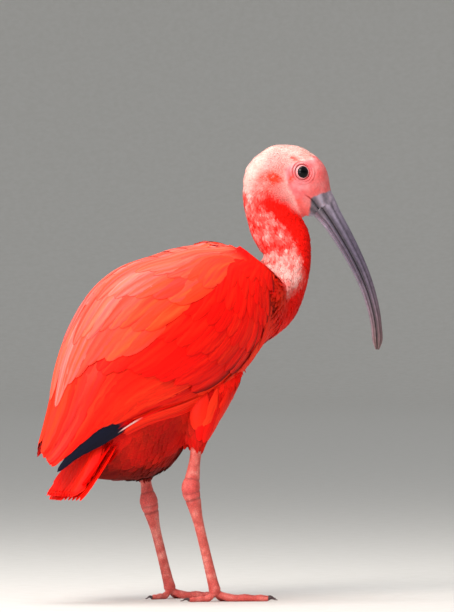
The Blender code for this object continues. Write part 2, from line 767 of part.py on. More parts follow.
def main():
    for old in list(bpy.data.objects):
        bpy.data.objects.remove(old)
    ibis = bpy.data.collections.new("scarlet_ibis")
    bpy.context.scene.collection.children.link(ibis)

    flesh = trunk_loft(ibis)
    boolean(flesh, "UNION", [neck_loft(ibis), head_loft(ibis)])
    keep_largest_surface(flesh)
    flesh_nodes = part_flesh(flesh, ibis)
    trunk, head = flesh_nodes["trunk"], flesh_nodes["head"]

    boolean(head, "UNION", [eye_lids(side, ibis) for side in (-1, 1)])
    sockets = [eyeball("socket", side, EYE_RADIUS + GAP, ibis) for side in (-1, 1)]
    boolean(head, "DIFFERENCE", sockets + gape(ibis))
    keep_largest_surface(head)
    bill_half("bill_upper", True, ibis)
    bill_half("bill_lower", False, ibis)

    boolean(flesh_nodes["tail"], "UNION", tail_vanes(ibis))
    keep_largest_surface(flesh_nodes["tail"])

    for side_name, side in SIDES.items():
        eyeball("eye_" + side_name, side, EYE_RADIUS, ibis)
        table = RIGHT_THIGH if side < 0 else LEFT_THIGH
        ankle = RIGHT_ANKLE if side < 0 else LEFT_ANKLE
        toe_joint = RIGHT_TOE_JOINT if side < 0 else LEFT_TOE_JOINT
        leg = thigh("thigh_" + side_name, side, table, ibis)
        minus(leg, trunk)
        shank("shank_" + side_name, side, table[-1][:3], ankle, toe_joint, ibis)
        heading = FOOT_HEADINGS[side_name]
        _, ends = foot("foot_" + side_name, side, heading, ankle, toe_joint, ibis)
        for toe, end, ahead, radius in ends:
            claw("claw_" + toe + "_" + side_name, end, ahead, radius, ibis)
        folded = wing("wing_" + side_name, side, ibis)
        minus(folded, trunk, leg)

    colours = {
        "head": ((0.80, 0.22, 0.17), 0.7),
        "neck": ((0.82, 0.20, 0.15), 0.8),
        "trunk": ((0.75, 0.02, 0.01), 0.8),
        "thigh": ((0.55, 0.01, 0.008), 0.8),
        "wing": ((0.85, 0.02, 0.012), 0.55),
        "tail": ((0.80, 0.03, 0.015), 0.6),
        "bill": ((0.16, 0.12, 0.13), 0.4),
        "eye": ((0.004, 0.004, 0.008), 0.08),
        "shank": ((0.55, 0.16, 0.15), 0.5),
        "foot": ((0.55, 0.16, 0.15), 0.5),
        "claw": ((0.05, 0.03, 0.03), 0.35),
    }
    for node in ibis.objects:
        node.data.materials.clear()
        node.data.materials.append(material(node.name, *colours[node.name.split("_")[0]]))

    # The origin goes to the middle of the footprint of the whole bird
    corners = np.array([v.co for node in ibis.objects for v in node.data.vertices])
    low, high = corners.min(axis=0), corners.max(axis=0)
    shift = Vector((-(low[0] + high[0]) / 2, -(low[1] + high[1]) / 2, -low[2]))
    for node in ibis.objects:
        for vertex in node.data.vertices:
            vertex.co += shift


main()
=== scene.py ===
# %% [markdown]
# # A scarlet ibis, life size
# A scarlet ibis stands at rest. Its body was modelled first as plain solids, one for each part,
# and this lesson dresses them: one skin, a coat of small feathers, the long feathers of wings
# and tail, a horn bill, wet eyes and scaled legs. Everything is in metres, and the bird looks
# along +X, with its left side towards +Y and the floor at Z = 0.

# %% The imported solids
import math

import bmesh
import bpy
import numpy as np
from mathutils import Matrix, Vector, kdtree, noise


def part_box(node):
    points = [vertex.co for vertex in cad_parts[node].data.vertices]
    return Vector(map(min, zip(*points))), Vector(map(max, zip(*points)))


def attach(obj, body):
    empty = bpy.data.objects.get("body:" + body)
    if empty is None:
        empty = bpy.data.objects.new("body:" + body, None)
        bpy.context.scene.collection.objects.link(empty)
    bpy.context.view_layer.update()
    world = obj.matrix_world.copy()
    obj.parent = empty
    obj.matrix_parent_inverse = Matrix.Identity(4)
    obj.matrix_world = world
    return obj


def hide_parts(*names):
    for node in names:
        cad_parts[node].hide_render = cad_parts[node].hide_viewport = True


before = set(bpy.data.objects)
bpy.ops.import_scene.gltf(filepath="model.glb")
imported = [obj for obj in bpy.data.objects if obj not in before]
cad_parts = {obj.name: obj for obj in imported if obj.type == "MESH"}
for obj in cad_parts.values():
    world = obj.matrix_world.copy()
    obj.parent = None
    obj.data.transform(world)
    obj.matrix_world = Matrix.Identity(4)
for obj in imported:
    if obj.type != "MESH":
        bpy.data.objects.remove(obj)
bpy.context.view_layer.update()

# %% [markdown]
# ## Where things are
# The solids were drawn from a few tables: how high, how low and how wide the body is at each
# place. The same tables are repeated here, so that the skin and each feather can be placed by
# formula. The other way would be to trace the solids' meshes, but a formula can be sampled as
# finely as a feather needs.

# %% The body's own sizes
TRUNK_PITCH = math.radians(46)
BREAST = (0.090, 0.251)
TRUNK_STATIONS = (
    (0.000, 0.066, 0.016, 0.027),
    (0.015, 0.099, 0.003, 0.037),
    (0.045, 0.122, 0.004, 0.046),
    (0.080, 0.139, 0.005, 0.050),
    (0.115, 0.147, 0.004, 0.051),
    (0.150, 0.141, 0.000, 0.048),
    (0.180, 0.125, -0.003, 0.041),
    (0.205, 0.102, 0.005, 0.030),
    (0.225, 0.081, 0.022, 0.020),
    (0.240, 0.069, 0.040, 0.013),
)
TRUNK_NOSE = (-0.008, 0.042)
TRUNK_TAIL_POINT = (0.250, 0.060)
WING_STATIONS = (
    (0.010, 0.108, 0.008, 0.043),
    (0.045, 0.130, 0.000, 0.055),
    (0.080, 0.146, -0.002, 0.059),
    (0.115, 0.154, 0.000, 0.060),
    (0.155, 0.149, 0.010, 0.056),
    (0.187, 0.137, 0.026, 0.048),
    (0.224, 0.116, 0.042, 0.036),
    (0.258, 0.099, 0.058, 0.026),
    (0.276, 0.091, 0.066, 0.022),
)
WING_END = WING_STATIONS[-1][0]
WING_EDGES = (
    (0.015, 46, 104),
    (0.030, 28, 116),
    (0.063, 17, 137),
    (0.100, 8, 139),
    (0.144, 4, 130),
    (0.189, 3, 117),
    (0.210, 3, 113),
    (0.276, 4, 101),
)
NECK_TURN = math.radians(-18)
NECK_PIVOT_X = 0.070
NECK_STATIONS = (
    (-0.0040, 0.3620, 0.0235, 0.0165),
    (-0.0060, 0.3450, 0.0228, 0.0165),
    (-0.0005, 0.3290, 0.0240, 0.0165),
    (0.0062, 0.3150, 0.0232, 0.0165),
    (0.0115, 0.3010, 0.0205, 0.0170),
    (0.0100, 0.2860, 0.0205, 0.0195),
    (0.0030, 0.2680, 0.0225, 0.0240),
    (-0.0060, 0.2530, 0.0225, 0.0270),
    (-0.0260, 0.2380, 0.0200, 0.0240),
    (-0.0450, 0.2280, 0.0160, 0.0180),
)
HEAD_NAPE = (-0.014, 0.372)
HEAD_PITCH = math.radians(-25.3)
HEAD_STATIONS = (
    (-0.0100, 0.0120, -0.0120, 0.0110),
    (-0.0030, 0.0240, -0.0200, 0.0155),
    (0.0100, 0.0330, -0.0230, 0.0182),
    (0.0240, 0.0370, -0.0220, 0.0188),
    (0.0380, 0.0345, -0.0188, 0.0176),
    (0.0480, 0.0292, -0.0172, 0.0154),
    (0.0560, 0.0222, -0.0150, 0.0124),
    (0.0610, 0.0170, -0.0130, 0.0104),
    (0.0680, 0.0102, -0.0110, 0.0084),
)
HEAD_BACK_POINT = (-0.0135, 0.0000)
THIGHS = {
    "right": (
        (0.004, 0.028, 0.205, 0.0210, 0.0120),
        (-0.007, 0.030, 0.188, 0.0220, 0.0145),
        (-0.016, 0.031, 0.168, 0.0185, 0.0140),
        (-0.021, 0.031, 0.150, 0.0122, 0.0110),
        (-0.0235, 0.0305, 0.1345, 0.0072, 0.0072),
    ),
    "left": (
        (-0.030, 0.026, 0.190, 0.0210, 0.0120),
        (-0.034, 0.028, 0.165, 0.0220, 0.0150),
        (-0.039, 0.029, 0.142, 0.0200, 0.0145),
        (-0.043, 0.029, 0.122, 0.0135, 0.0115),
        (-0.0445, 0.0285, 0.1055, 0.0076, 0.0076),
    ),
}
SIDES = {"right": -1, "left": 1}
EYE_RADIUS = 0.0065
EYE_ALONG, EYE_UP, EYE_SIDE = 0.0305, 0.0151, 0.0136


# %% Formulas for places
def smooth_step(x, low, high):
    """0 below low, 1 above high and a soft rise between."""
    t = np.clip((np.asarray(x, float) - low) / (high - low), 0, 1)
    return t * t * (3 - 2 * t)


def ridge(x, centre, width):
    """1 at the centre and a soft fall on both sides."""
    return np.exp(-(((x - centre) / width) ** 2))


def unit(vectors):
    """The same directions, each one long."""
    vectors = np.asarray(vectors, float)
    return vectors / np.maximum(np.linalg.norm(vectors, axis=-1, keepdims=True), 1e-12)


def through(stations, places):
    """Values at many places on smooth curves through stations, whose first value is their place."""
    table = np.array(stations, float)
    knots, values = table[:, 0], table[:, 1:]
    places = np.clip(np.asarray(places, float), knots[0], knots[-1])
    k = np.clip(np.searchsorted(knots, places, side="right") - 1, 0, len(knots) - 2)
    slopes = np.gradient(values, knots, axis=0)
    step = (knots[k + 1] - knots[k])[..., None]
    t = (places - knots[k])[..., None] / step
    return (
        (2 * t**3 - 3 * t**2 + 1) * values[k]
        + (t**3 - 2 * t**2 + t) * step * slopes[k]
        + (3 * t**2 - 2 * t**3) * values[k + 1]
        + (t**3 - t**2) * step * slopes[k + 1]
    )


def by_share(rows):
    """The rows, each with its share of the whole run, 0 to 1, put first."""
    return [(t, *row) for t, row in zip(np.linspace(0, 1, len(rows)), rows)]


def columns(table):
    """The last axis of an array as separate arrays."""
    return np.moveaxis(table, -1, 0)


def points(x, y, z):
    """Points from three arrays, the last axis their x, y and z."""
    return np.stack(np.broadcast_arrays(x, y, z), axis=-1).astype(float)


def trunk_place(along, up, side):
    """A point in the trunk's own frame, which leans back by its pitch."""
    along, up = np.asarray(along, float), np.asarray(up, float)
    return points(
        BREAST[0] - along * math.cos(TRUNK_PITCH) - up * math.sin(TRUNK_PITCH),
        side,
        BREAST[1] - along * math.sin(TRUNK_PITCH) + up * math.cos(TRUNK_PITCH),
    )


def trunk_coordinates(where):
    """Along, up and the angle round the trunk, in degrees from the back."""
    x, z = where[:, 0] - BREAST[0], where[:, 2] - BREAST[1]
    along = -x * math.cos(TRUNK_PITCH) - z * math.sin(TRUNK_PITCH)
    up = -x * math.sin(TRUNK_PITCH) + z * math.cos(TRUNK_PITCH)
    back, belly, half_width = columns(through(TRUNK_STATIONS, along))
    above = (up - (back + belly) / 2) / ((back - belly) / 2)
    return along, up, np.degrees(np.arctan2(np.abs(where[:, 1]) / half_width, above))


def shell_point(stations, along, angle):
    """A point round trunk or wings: angle 0 is the back, positive angles the bird's right."""
    back, belly, half_width = columns(through(stations, along))
    middle, reach = (back + belly) / 2, (back - belly) / 2
    return trunk_place(along, middle + reach * np.cos(angle), -half_width * np.sin(angle))


def neck_place(forward, height, side):
    """A point in the neck's plane, which is turned a little to the bird's right."""
    forward, side = np.asarray(forward, float), np.asarray(side, float)
    return points(
        NECK_PIVOT_X + forward * math.cos(NECK_TURN) - side * math.sin(NECK_TURN),
        forward * math.sin(NECK_TURN) + side * math.cos(NECK_TURN),
        height,
    )


def neck_coordinates(where):
    """The forward and side values of points: neck_place the other way round."""
    x, y = where[..., 0] - NECK_PIVOT_X, where[..., 1]
    forward = x * math.cos(NECK_TURN) + y * math.sin(NECK_TURN)
    return forward, -x * math.sin(NECK_TURN) + y * math.cos(NECK_TURN)


def head_place(along, up, side):
    """A point in the head's frame: along runs from the nape to the bill."""
    along, up = np.asarray(along, float), np.asarray(up, float)
    forward = HEAD_NAPE[0] + along * math.cos(HEAD_PITCH) - up * math.sin(HEAD_PITCH)
    height = HEAD_NAPE[1] + along * math.sin(HEAD_PITCH) + up * math.cos(HEAD_PITCH)
    return neck_place(forward, height, side)


def head_coordinates(where):
    """The along, up and side values of points: head_place the other way round."""
    where = np.asarray(where, float)
    forward, side = neck_coordinates(where)
    forward, height = forward - HEAD_NAPE[0], where[..., 2] - HEAD_NAPE[1]
    along = forward * math.cos(HEAD_PITCH) + height * math.sin(HEAD_PITCH)
    up = -forward * math.sin(HEAD_PITCH) + height * math.cos(HEAD_PITCH)
    return along, up, side


def eye_centre(side):
    """The middle of an eyeball; side is -1 on the bird's right and 1 on its left."""
    return head_place(EYE_ALONG, EYE_UP, side * EYE_SIDE)


eye_low, eye_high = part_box("eye_right")
SHIFT = np.array((eye_low + eye_high) / 2) - eye_centre(SIDES["right"])
SHIFT[2] = 0
print("the packed frame lies", np.round(SHIFT * 1000, 2).tolist(), "mm from the drawing")

# %% [markdown]
# ## Small helpers
# Each piece is a mesh from arrays of points and faces, placed at once where it belongs, and
# each material is a small network of nodes. One function makes the first, and one adds a node
# with its settings and links for the second.


# %% Meshes from arrays
def new_piece(name, where, faces, material=None, values=None, corner_maps=None, rim=None):
    """A mesh object from arrays; values are attributes of points, corner_maps are UV maps by point.

    An edge between two points of the rim is kept sharp, or a thin vane looks like a pillow.
    """
    mesh = bpy.data.meshes.new(name)
    mesh.from_pydata((np.asarray(where) + SHIFT).tolist(), [], [list(map(int, f)) for f in faces])
    mesh.update()
    mesh.shade_smooth()
    if rim is not None:
        ends = np.empty(len(mesh.edges) * 2, int)
        mesh.edges.foreach_get("vertices", ends)
        sharp = np.asarray(rim, bool)[ends].reshape(-1, 2).all(1)
        mesh.attributes.new("sharp_edge", "BOOLEAN", "EDGE").data.foreach_set("value", sharp)
    store_all(mesh, values or {})
    loops = np.empty(len(mesh.loops), int)
    mesh.loops.foreach_get("vertex_index", loops)
    for key, array in (corner_maps or {}).items():
        mesh.uv_layers.new(name=key).data.foreach_set("uv", np.asarray(array, float)[loops].ravel())
    made = bpy.data.objects.new(name, mesh)
    bpy.context.scene.collection.objects.link(made)
    if material is not None:
        mesh.materials.append(material)
    return made


def store(mesh, key, array):
    """Writes one value, vector or colour for each point."""
    array = np.asarray(array, float)
    kinds = {1: ("FLOAT", "value"), 3: ("FLOAT_VECTOR", "vector"), 4: ("FLOAT_COLOR", "color")}
    kind, field = kinds[1 if array.ndim == 1 else array.shape[1]]
    mesh.attributes.new(key, kind, "POINT").data.foreach_set(field, array.ravel())


def store_all(mesh, values):
    """Writes each array under its own name."""
    for key, array in values.items():
        store(mesh, key, array)


def positions(mesh):
    """A mesh's points in the drawing's own frame."""
    where = np.empty(len(mesh.vertices) * 3)
    mesh.vertices.foreach_get("co", where)
    return where.reshape(-1, 3) - SHIFT


# %% Rings and closed forms
def grid_faces(rows, count, closed=True):
    """Quads over rows of count points each; closed rows join their ends."""
    steps = count if closed else count - 1
    r, c = np.meshgrid(np.arange(rows - 1), np.arange(steps), indexing="ij")
    n = (c + 1) % count
    here, next_row = r * count, (r + 1) * count
    return np.stack((here + c, here + n, next_row + n, next_row + c), -1).reshape(-1, 4)


def closed_loft(rings, start, end):
    """Points and outward faces of a closed skin over rings, each end drawn to a point."""
    rings = np.asarray(rings, float)
    rows, count = rings.shape[:2]
    where = np.vstack((rings.reshape(-1, 3), [start, end]))
    faces = [tuple(f) for f in grid_faces(rows, count)]
    first, last = rows * count, rows * count + 1
    for k in range(count):
        n = (k + 1) % count
        faces.append((n, k, first))
        faces.append(((rows - 1) * count + k, (rows - 1) * count + n, last))
    return where, turned_out(where, faces)


def turned_out(where, faces):
    """The faces, reversed if the closed surface that they make has a negative volume."""
    volume = 0.0
    for face in faces:
        a = where[face[0]]
        for b, c in zip(face[1:-1], face[2:]):
            volume += float(np.dot(a, np.cross(where[b], where[c])))
    return faces if volume > 0 else [tuple(reversed(f)) for f in faces]


def applied(source, name):
    """A plain new object with the source's modifiers worked in; the source is removed."""
    bpy.context.view_layer.update()
    evaluated = source.evaluated_get(bpy.context.evaluated_depsgraph_get())
    mesh = bpy.data.meshes.new_from_object(evaluated)
    mesh.name = name
    made = bpy.data.objects.new(name, mesh)
    bpy.context.scene.collection.objects.link(made)
    bpy.data.objects.remove(source)
    return made


def joined(forms):
    """The points and faces of several forms as one mesh."""
    where, faces, base = [], [], 0
    for more, quads in forms:
        where.append(more)
        faces.extend(tuple(k + base for k in face) for face in quads)
        base += len(more)
    return np.vstack(where), faces


def remeshed(forms, voxel, name):
    """Closed forms that overlap, made one surface of even quads of the voxel's size."""
    raw = new_piece(f"{name}_forms", *joined(forms))
    remesh = raw.modifiers.new("one surface", "REMESH")
    remesh.mode = "VOXEL"
    remesh.voxel_size = voxel
    return applied(raw, name)


def opaque(colour):
    """Linear RGB of many points with a full alpha."""
    return np.hstack((colour, np.ones((len(colour), 1))))


def finished(piece, slot, *nodes):
    """Joins a piece to the model: it rides on the one body and stands for the CAD nodes named."""
    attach(piece, "root")
    if nodes:
        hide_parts(*nodes)
    piece.data.calc_loop_triangles()
    print(f"{piece.name}: {len(piece.data.loop_triangles)} triangles")


# %% Colours and nodes
def linear(code):
    """An sRGB hex colour as linear RGBA, which is what Blender's sockets take."""
    parts = [int(code[k : k + 2], 16) / 255 for k in (1, 3, 5)]
    return (*[c / 12.92 if c <= 0.04045 else ((c + 0.055) / 1.055) ** 2.4 for c in parts], 1.0)


def add_node(tree, kind, inputs=None, stops=(), **settings):
    """Adds a node with its settings; inputs give each socket a value or another node's output.

    Stops are the (place, hex colour) pairs of a colour ramp.
    """
    node = tree.nodes.new(kind)
    for number, (place, code) in enumerate(stops):
        elements = node.color_ramp.elements
        element = elements[number] if number < len(elements) else elements.new(1.0)
        element.position = place
        element.color = linear(code)
    for key, value in settings.items():
        setattr(node, key, value)
    for socket, value in (inputs or {}).items():
        if isinstance(value, bpy.types.NodeSocket):
            tree.links.new(value, node.inputs[socket])
        else:
            node.inputs[socket].default_value = value
    return node


def new_material(name, **constants):
    """A material with constants on its shader's own sockets, its tree and the shader."""
    made = bpy.data.materials.new(name)
    made.use_nodes = True
    shader = made.node_tree.nodes["Principled BSDF"]
    for key, value in constants.items():
        shader.inputs[key.replace("_", " ")].default_value = value
    return made, made.node_tree, shader


def finish_surface(tree, shader, colour, value, height, bump):
    """Gives the shader its colour, lighter or darker by value, and a bump (strength, distance)."""
    varied = add_node(tree, "ShaderNodeHueSaturation", {"Color": colour, "Value": value})
    tree.links.new(varied.outputs["Color"], shader.inputs["Base Color"])
    raised = {"Height": height, "Strength": bump[0], "Distance": bump[1]}
    tree.links.new(add_node(tree, "ShaderNodeBump", raised).outputs["Normal"],
        shader.inputs["Normal"])


# %% [markdown]
# ## The skin
# On the real bird one skin runs from the bill to the tail, bare and wrinkled on the face and
# hidden by feathers elsewhere. Trunk, neck, head and thighs could stay separate lofts, but
# their seams would show. So they are joined, remeshed into one surface and smoothed. The face
# is then divided more finely, because its lids and folds are less than a millimetre wide.

# %% Lofts of the body, with the way the feathers lie on them
SKIN_VOXEL = 0.0015
ZONES = ("head", "neck", "trunk", "thigh")


def loft_rings():
    """Each form's rings, its ends, its zone and the direction in which its feathers lie."""
    forms = []
    ring = np.linspace(0, 2 * math.pi, 64, endpoint=False)
    along = np.linspace(TRUNK_STATIONS[0][0], TRUNK_STATIONS[-1][0], 60)
    rings = shell_point(TRUNK_STATIONS, along[:, None], ring[None, :])
    lie = np.gradient(rings, axis=0)
    forms.append((rings, trunk_place(*TRUNK_NOSE, 0), trunk_place(*TRUNK_TAIL_POINT, 0), "trunk",
        lie))

    stations = by_share(NECK_STATIONS)
    forward, height, half_depth, half_width = columns(through(stations, np.linspace(0, 1, 60)))
    ahead = unit(points(np.gradient(forward), np.gradient(height), 0))[:, None, :]
    across = half_depth[:, None] * np.cos(ring)
    rings = neck_place(
        forward[:, None] - across * ahead[..., 1],
        height[:, None] + across * ahead[..., 0],
        half_width[:, None] * np.sin(ring),
    )
    ends = [neck_place(forward[k], height[k], 0) for k in (0, -1)]
    forms.append((rings, *ends, "neck", np.gradient(rings, axis=0)))

    along = np.linspace(HEAD_STATIONS[0][0], HEAD_STATIONS[-1][0], 60)
    crown, jaw, half_width = columns(through(HEAD_STATIONS, along))
    middle, reach = (crown + jaw) / 2, (crown - jaw) / 2
    rings = head_place(
        along[:, None],
        middle[:, None] + reach[:, None] * np.cos(ring),
        half_width[:, None] * np.sin(ring),
    )
    back = unit(head_place(-1, 0, 0) - head_place(0, 0, 0))
    lie = np.broadcast_to(back * 0.9 + np.array((0, 0, -0.5)), rings.shape)
    ends = head_place(*HEAD_BACK_POINT, 0), head_place(along[-1], middle[-1], 0)
    forms.append((rings, *ends, "head", lie))

    for name, table in THIGHS.items():
        shares = np.linspace(0, 1, 36)
        x, y, z, half_depth, half_width = columns(through(by_share(table), shares))
        rings = points(
            x[:, None] + half_depth[:, None] * np.cos(ring),
            SIDES[name] * y[:, None] + half_width[:, None] * np.sin(ring),
            z[:, None] + 0 * ring,
        )
        lie = np.broadcast_to((0.0, 0.0, -1.0), rings.shape)
        forms.append((rings, rings[0].mean(0), rings[-1].mean(0), "thigh", lie))
    return forms


forms = loft_rings()
skin = remeshed([closed_loft(*form[:3]) for form in forms], SKIN_VOXEL, "skin")
print("remeshed skin:", len(skin.data.vertices), "points")


# %% A finer face
FACE_BACK = 0.010


def divide_face(piece):
    """Divides the quads of the face twice."""
    bm = bmesh.new()
    bm.from_mesh(piece.data)
    for _ in range(2):
        edges = []
        for edge in bm.edges:
            middle = (edge.verts[0].co + edge.verts[1].co) / 2 - Vector(SHIFT)
            along, up, _ = head_coordinates(middle)
            if along > FACE_BACK and -0.034 < up and middle.z > 0.33:
                edges.append(edge)
        bmesh.ops.subdivide_edges(bm, edges=edges, cuts=1, use_grid_fill=True)
    bm.to_mesh(piece.data)
    bm.free()


divide_face(skin)
where = positions(skin.data)
edge_ends = np.empty(len(skin.data.edges) * 2, int)
skin.data.edges.foreach_get("vertices", edge_ends)
edge_ends = edge_ends.reshape(-1, 2)


def relaxed(values, rounds, weight=1.0):
    """Values of the skin's points, each moved towards the mean of its neighbours in every round."""
    count = np.bincount(edge_ends.ravel(), minlength=len(where))[:, None]
    for _ in range(rounds):
        total = np.zeros_like(values)
        np.add.at(total, edge_ends[:, 0], values[edge_ends[:, 1]])
        np.add.at(total, edge_ends[:, 1], values[edge_ends[:, 0]])
        values = values + (total / count - values) * 0.5 * weight
    return values


def skin_normals():
    """The outward directions of the skin as its points now are."""
    found = np.empty(len(where) * 3)
    skin.data.vertices.foreach_get("co", found)
    skin.data.vertices.foreach_set("co", (where + SHIFT).ravel())
    skin.data.update()
    skin.data.vertex_normals.foreach_get("vector", found)
    return found.reshape(-1, 3)


where = relaxed(where, 8)

# Feathers puff the nape, the forehead and the throat out a little further than the solids:
# centre in the neck's plane (forward, height), size and amount.
PUFFS = (((-0.0294, 0.3582), 0.013, 0.0017), ((0.0405, 0.3750), 0.012, 0.0016),
    ((0.0290, 0.3190), 0.011, 0.0016))
outward = skin_normals()
forward, _ = neck_coordinates(where)
puff = np.zeros(len(where))
for (ahead, height), size, amount in PUFFS:
    puff += amount * np.exp(-((forward - ahead) ** 2 + (where[:, 2] - height) ** 2) / size**2)
where = where + outward * puff[:, None]
# Between the wings and beside their front edges the shoulder feathers stand up to the wings:
# place along the trunk, and how far the skin is raised there.
SHOULDER_RISE = (
    (-0.024, 0.0),
    (-0.010, 0.006),
    (-0.003, 0.0084),
    (0.005, 0.0116),
    (0.012, 0.0084),
    (0.020, 0.0022),
    (0.030, -0.0008),
    (0.050, -0.0004),
    (0.100, 0.0022),
    (0.180, 0.001),
    (0.200, 0.0),
)
SIDE_RISE = ((-0.015, 0.0), (0.0, 0.004), (0.012, 0.0065), (0.030, 0.005), (0.052, 0.0))
trunk_along, _, trunk_angle = trunk_coordinates(where)
rise = through(SHOULDER_RISE, trunk_along)[:, 0] * smooth_step(trunk_angle, 80, 42)
corner = np.where(where[:, 1] < 0, 0.0050, 0.0004) * ridge(trunk_along, 0.012, 0.009)
rise += corner * smooth_step(trunk_angle, 22, 44) * smooth_step(trunk_angle, 86, 66)
spread = (
    through(SIDE_RISE, trunk_along)[:, 0] * smooth_step(trunk_angle, 40, 70)
    * smooth_step(trunk_angle, 140, 110)
)
where = where + rise[:, None] * (trunk_place(0, 1, 0) - trunk_place(0, 0, 0))
where[:, 1] += spread * np.sign(where[:, 1])
print("skin with a finer face:", len(where), "points")

# %% What each place of the skin carries
form_points = np.vstack([rings.reshape(-1, 3) for rings, *_ in forms])
form_lies = unit(np.vstack([np.asarray(lie).reshape(-1, 3) for *_, lie in forms]))
form_zones = np.concatenate(
    [np.full(rings.shape[0] * rings.shape[1], ZONES.index(zone)) for rings, _, _, zone, _ in forms]
)
tree = kdtree.KDTree(len(form_points))
for k, place in enumerate(form_points):
    tree.insert(place, k)
tree.balance()
lie = np.zeros_like(where)
share = np.zeros((len(where), len(ZONES)))
for k, place in enumerate(where):
    for _, index, distance in tree.find_n(place, 8):
        weight = 1 / (distance * distance + 1e-6)
        lie[k] += weight * form_lies[index]
        share[k, form_zones[index]] += weight
share /= share.sum(1, keepdims=True)
share = relaxed(share, 10)
lie = unit(relaxed(unit(lie), 14))
print("zones by share of the skin:", dict(zip(ZONES, share.mean(0).round(3))))


# %% [markdown]
# ## Markings
# A scarlet ibis is one red almost all over, but this one is paler where the light and worn
# feathers show it: the crown is nearly white, the neck is mottled white and rose, and the bare
# face is salmon pink. Skin and feathers share one set of markings, with painted shade and
# painted highlights among them, worked out from the place on the body with soft noise. A
# painted image could do it, but a formula stays sharp anywhere.


# %% Colour by place
def noise_at(where, scale, seed):
    """Soft noise from about -1 to 1 at each place, with features of about scale metres."""
    offset = Vector((seed * 7.3, seed * 3.1, seed * 5.7))
    return np.array([noise.noise(Vector(p) / scale + offset) for p in where]) * 1.6


def mixed(first, second, share):
    """The first colour at a share of 0 and the second at 1."""
    share = np.clip(share, 0, 1)[..., None]
    return np.asarray(first) * (1 - share) + np.asarray(second) * share


def blob(along, up, centre, size):
    """1 at a centre in the head's side view, falling softly to 0 at about size."""
    return np.exp(-(((along - centre[0]) / size[0]) ** 2) - (((up - centre[1]) / size[1]) ** 2))


SCARLET = linear("#fc0500")[:3]
# DEEP_RED is both the plumage's own deeper red and painted shade; SHADE_RED is painted shade only.
DEEP_RED = linear("#a20200")[:3]
SHADE_RED = linear("#560000")[:3]
ORANGE_RED = linear("#fd3a16")[:3]
ROSE = linear("#ee665f")[:3]
BLUSH = linear("#f8b6b0")[:3]
CREAM = linear("#fbdcd0")[:3]
SALMON = linear("#e46c70")[:3]
LID_PINK = linear("#e6a6a8")[:3]
# Centres, sizes and strengths of the red patches, along and above the head's own axis.
RED_PATCHES = (
    ((0.0105, -0.0010), (0.0092, 0.0066), 1.20),
    ((0.0090, -0.0116), (0.0062, 0.0060), 0.75),
    ((0.0160, 0.0100), (0.0070, 0.0050), 0.35),
    ((0.0200, 0.0235), (0.0060, 0.0018), 0.55),
    ((0.0390, 0.0330), (0.0080, 0.0016), 0.80),
    ((0.0000, -0.0160), (0.0036, 0.0100), 0.60),
)
FACE_PATCHES = (((0.0243, 0.0046), (0.0022, 0.0044), 0.85),
    ((0.0400, -0.0090), (0.0040, 0.0024), 0.55))
PALE_TUFTS = (((0.0215, -0.0080), (0.0090, 0.0030)),)
# Height, redness all round, extra redness in front, and from where to where in front it sets in.
NECK_REDNESS = (
    (0.245, 1.30, 0.2, 0.2, 0.8),
    (0.256, 1.15, 0.3, 0.2, 0.8),
    (0.265, 0.88, 0.5, 0.2, 0.8),
    (0.273, 0.50, 0.6, 0.3, 0.9),
    (0.285, 0.30, 0.8, 0.4, 0.9),
    (0.297, 0.46, 1.2, 0.3, 0.8),
    (0.310, 0.70, 1.3, 0.2, 0.75),
    (0.325, 0.68, 1.3, 0.1, 0.7),
    (0.336, 0.66, 1.2, -0.3, 0.4),
    (0.348, 0.62, 1.1, -0.6, 0.1),
    (0.360, 0.40, 0.9, -0.4, 0.3),
)
BARE_BEHIND = ((-0.018, 0.048), (-0.007, 0.033), (0.002, 0.021), (0.014, 0.0165), (0.022, 0.024),
    (0.031, 0.036))


# %% Markings of head, neck and trunk
def bare_face(where):
    """1 on the bare face, 0 under feathers."""
    along, up, _ = head_coordinates(where)
    edge = through(BARE_BEHIND, up)[:, 0]
    edge = edge + 0.0012 * noise_at(where, 0.0030, 12)
    return smooth_step(along - edge, -0.0030, 0.0030) * smooth_step(where[:, 2], 0.325, 0.333)


def head_marking_and_painted_light(where):
    """Near white on the crown, partly the feathers' own colour and partly painted highlight, with
    red patches behind the eye and a red throat.
    """
    along, up, _ = head_coordinates(where)
    soft = noise_at(where, 0.0055, 1)
    fine = noise_at(where * (1.0, 1.0, 0.6), 0.0016, 2)
    # Paler on the crown and towards the nape: partly own colour, partly painted highlight from
    # above.
    pale = smooth_step(up, 0.014, 0.030) + smooth_step(along, 0.004, -0.006)
    colour = mixed(BLUSH, CREAM, 0.75 * pale + 0.25 * soft + 0.1 * fine)
    for centre, size, strength in RED_PATCHES:
        colour = mixed(colour, ORANGE_RED, blob(along, up, centre, size) * strength
            * (1 + 0.55 * fine + 0.35 * soft))
    throat = (
        smooth_step(up + 0.30 * (along - 0.02), -0.0150, -0.0205)
        * smooth_step(along, -0.004, 0.008)
    )
    colour = mixed(colour, SCARLET, throat * (0.90 + 0.20 * fine))
    for centre, size in PALE_TUFTS:
        colour = mixed(colour, BLUSH, blob(along, up, centre, size) * (1.1 + 0.3 * fine))
    return mixed(colour, ROSE, 0.14 + 0.20 * soft)


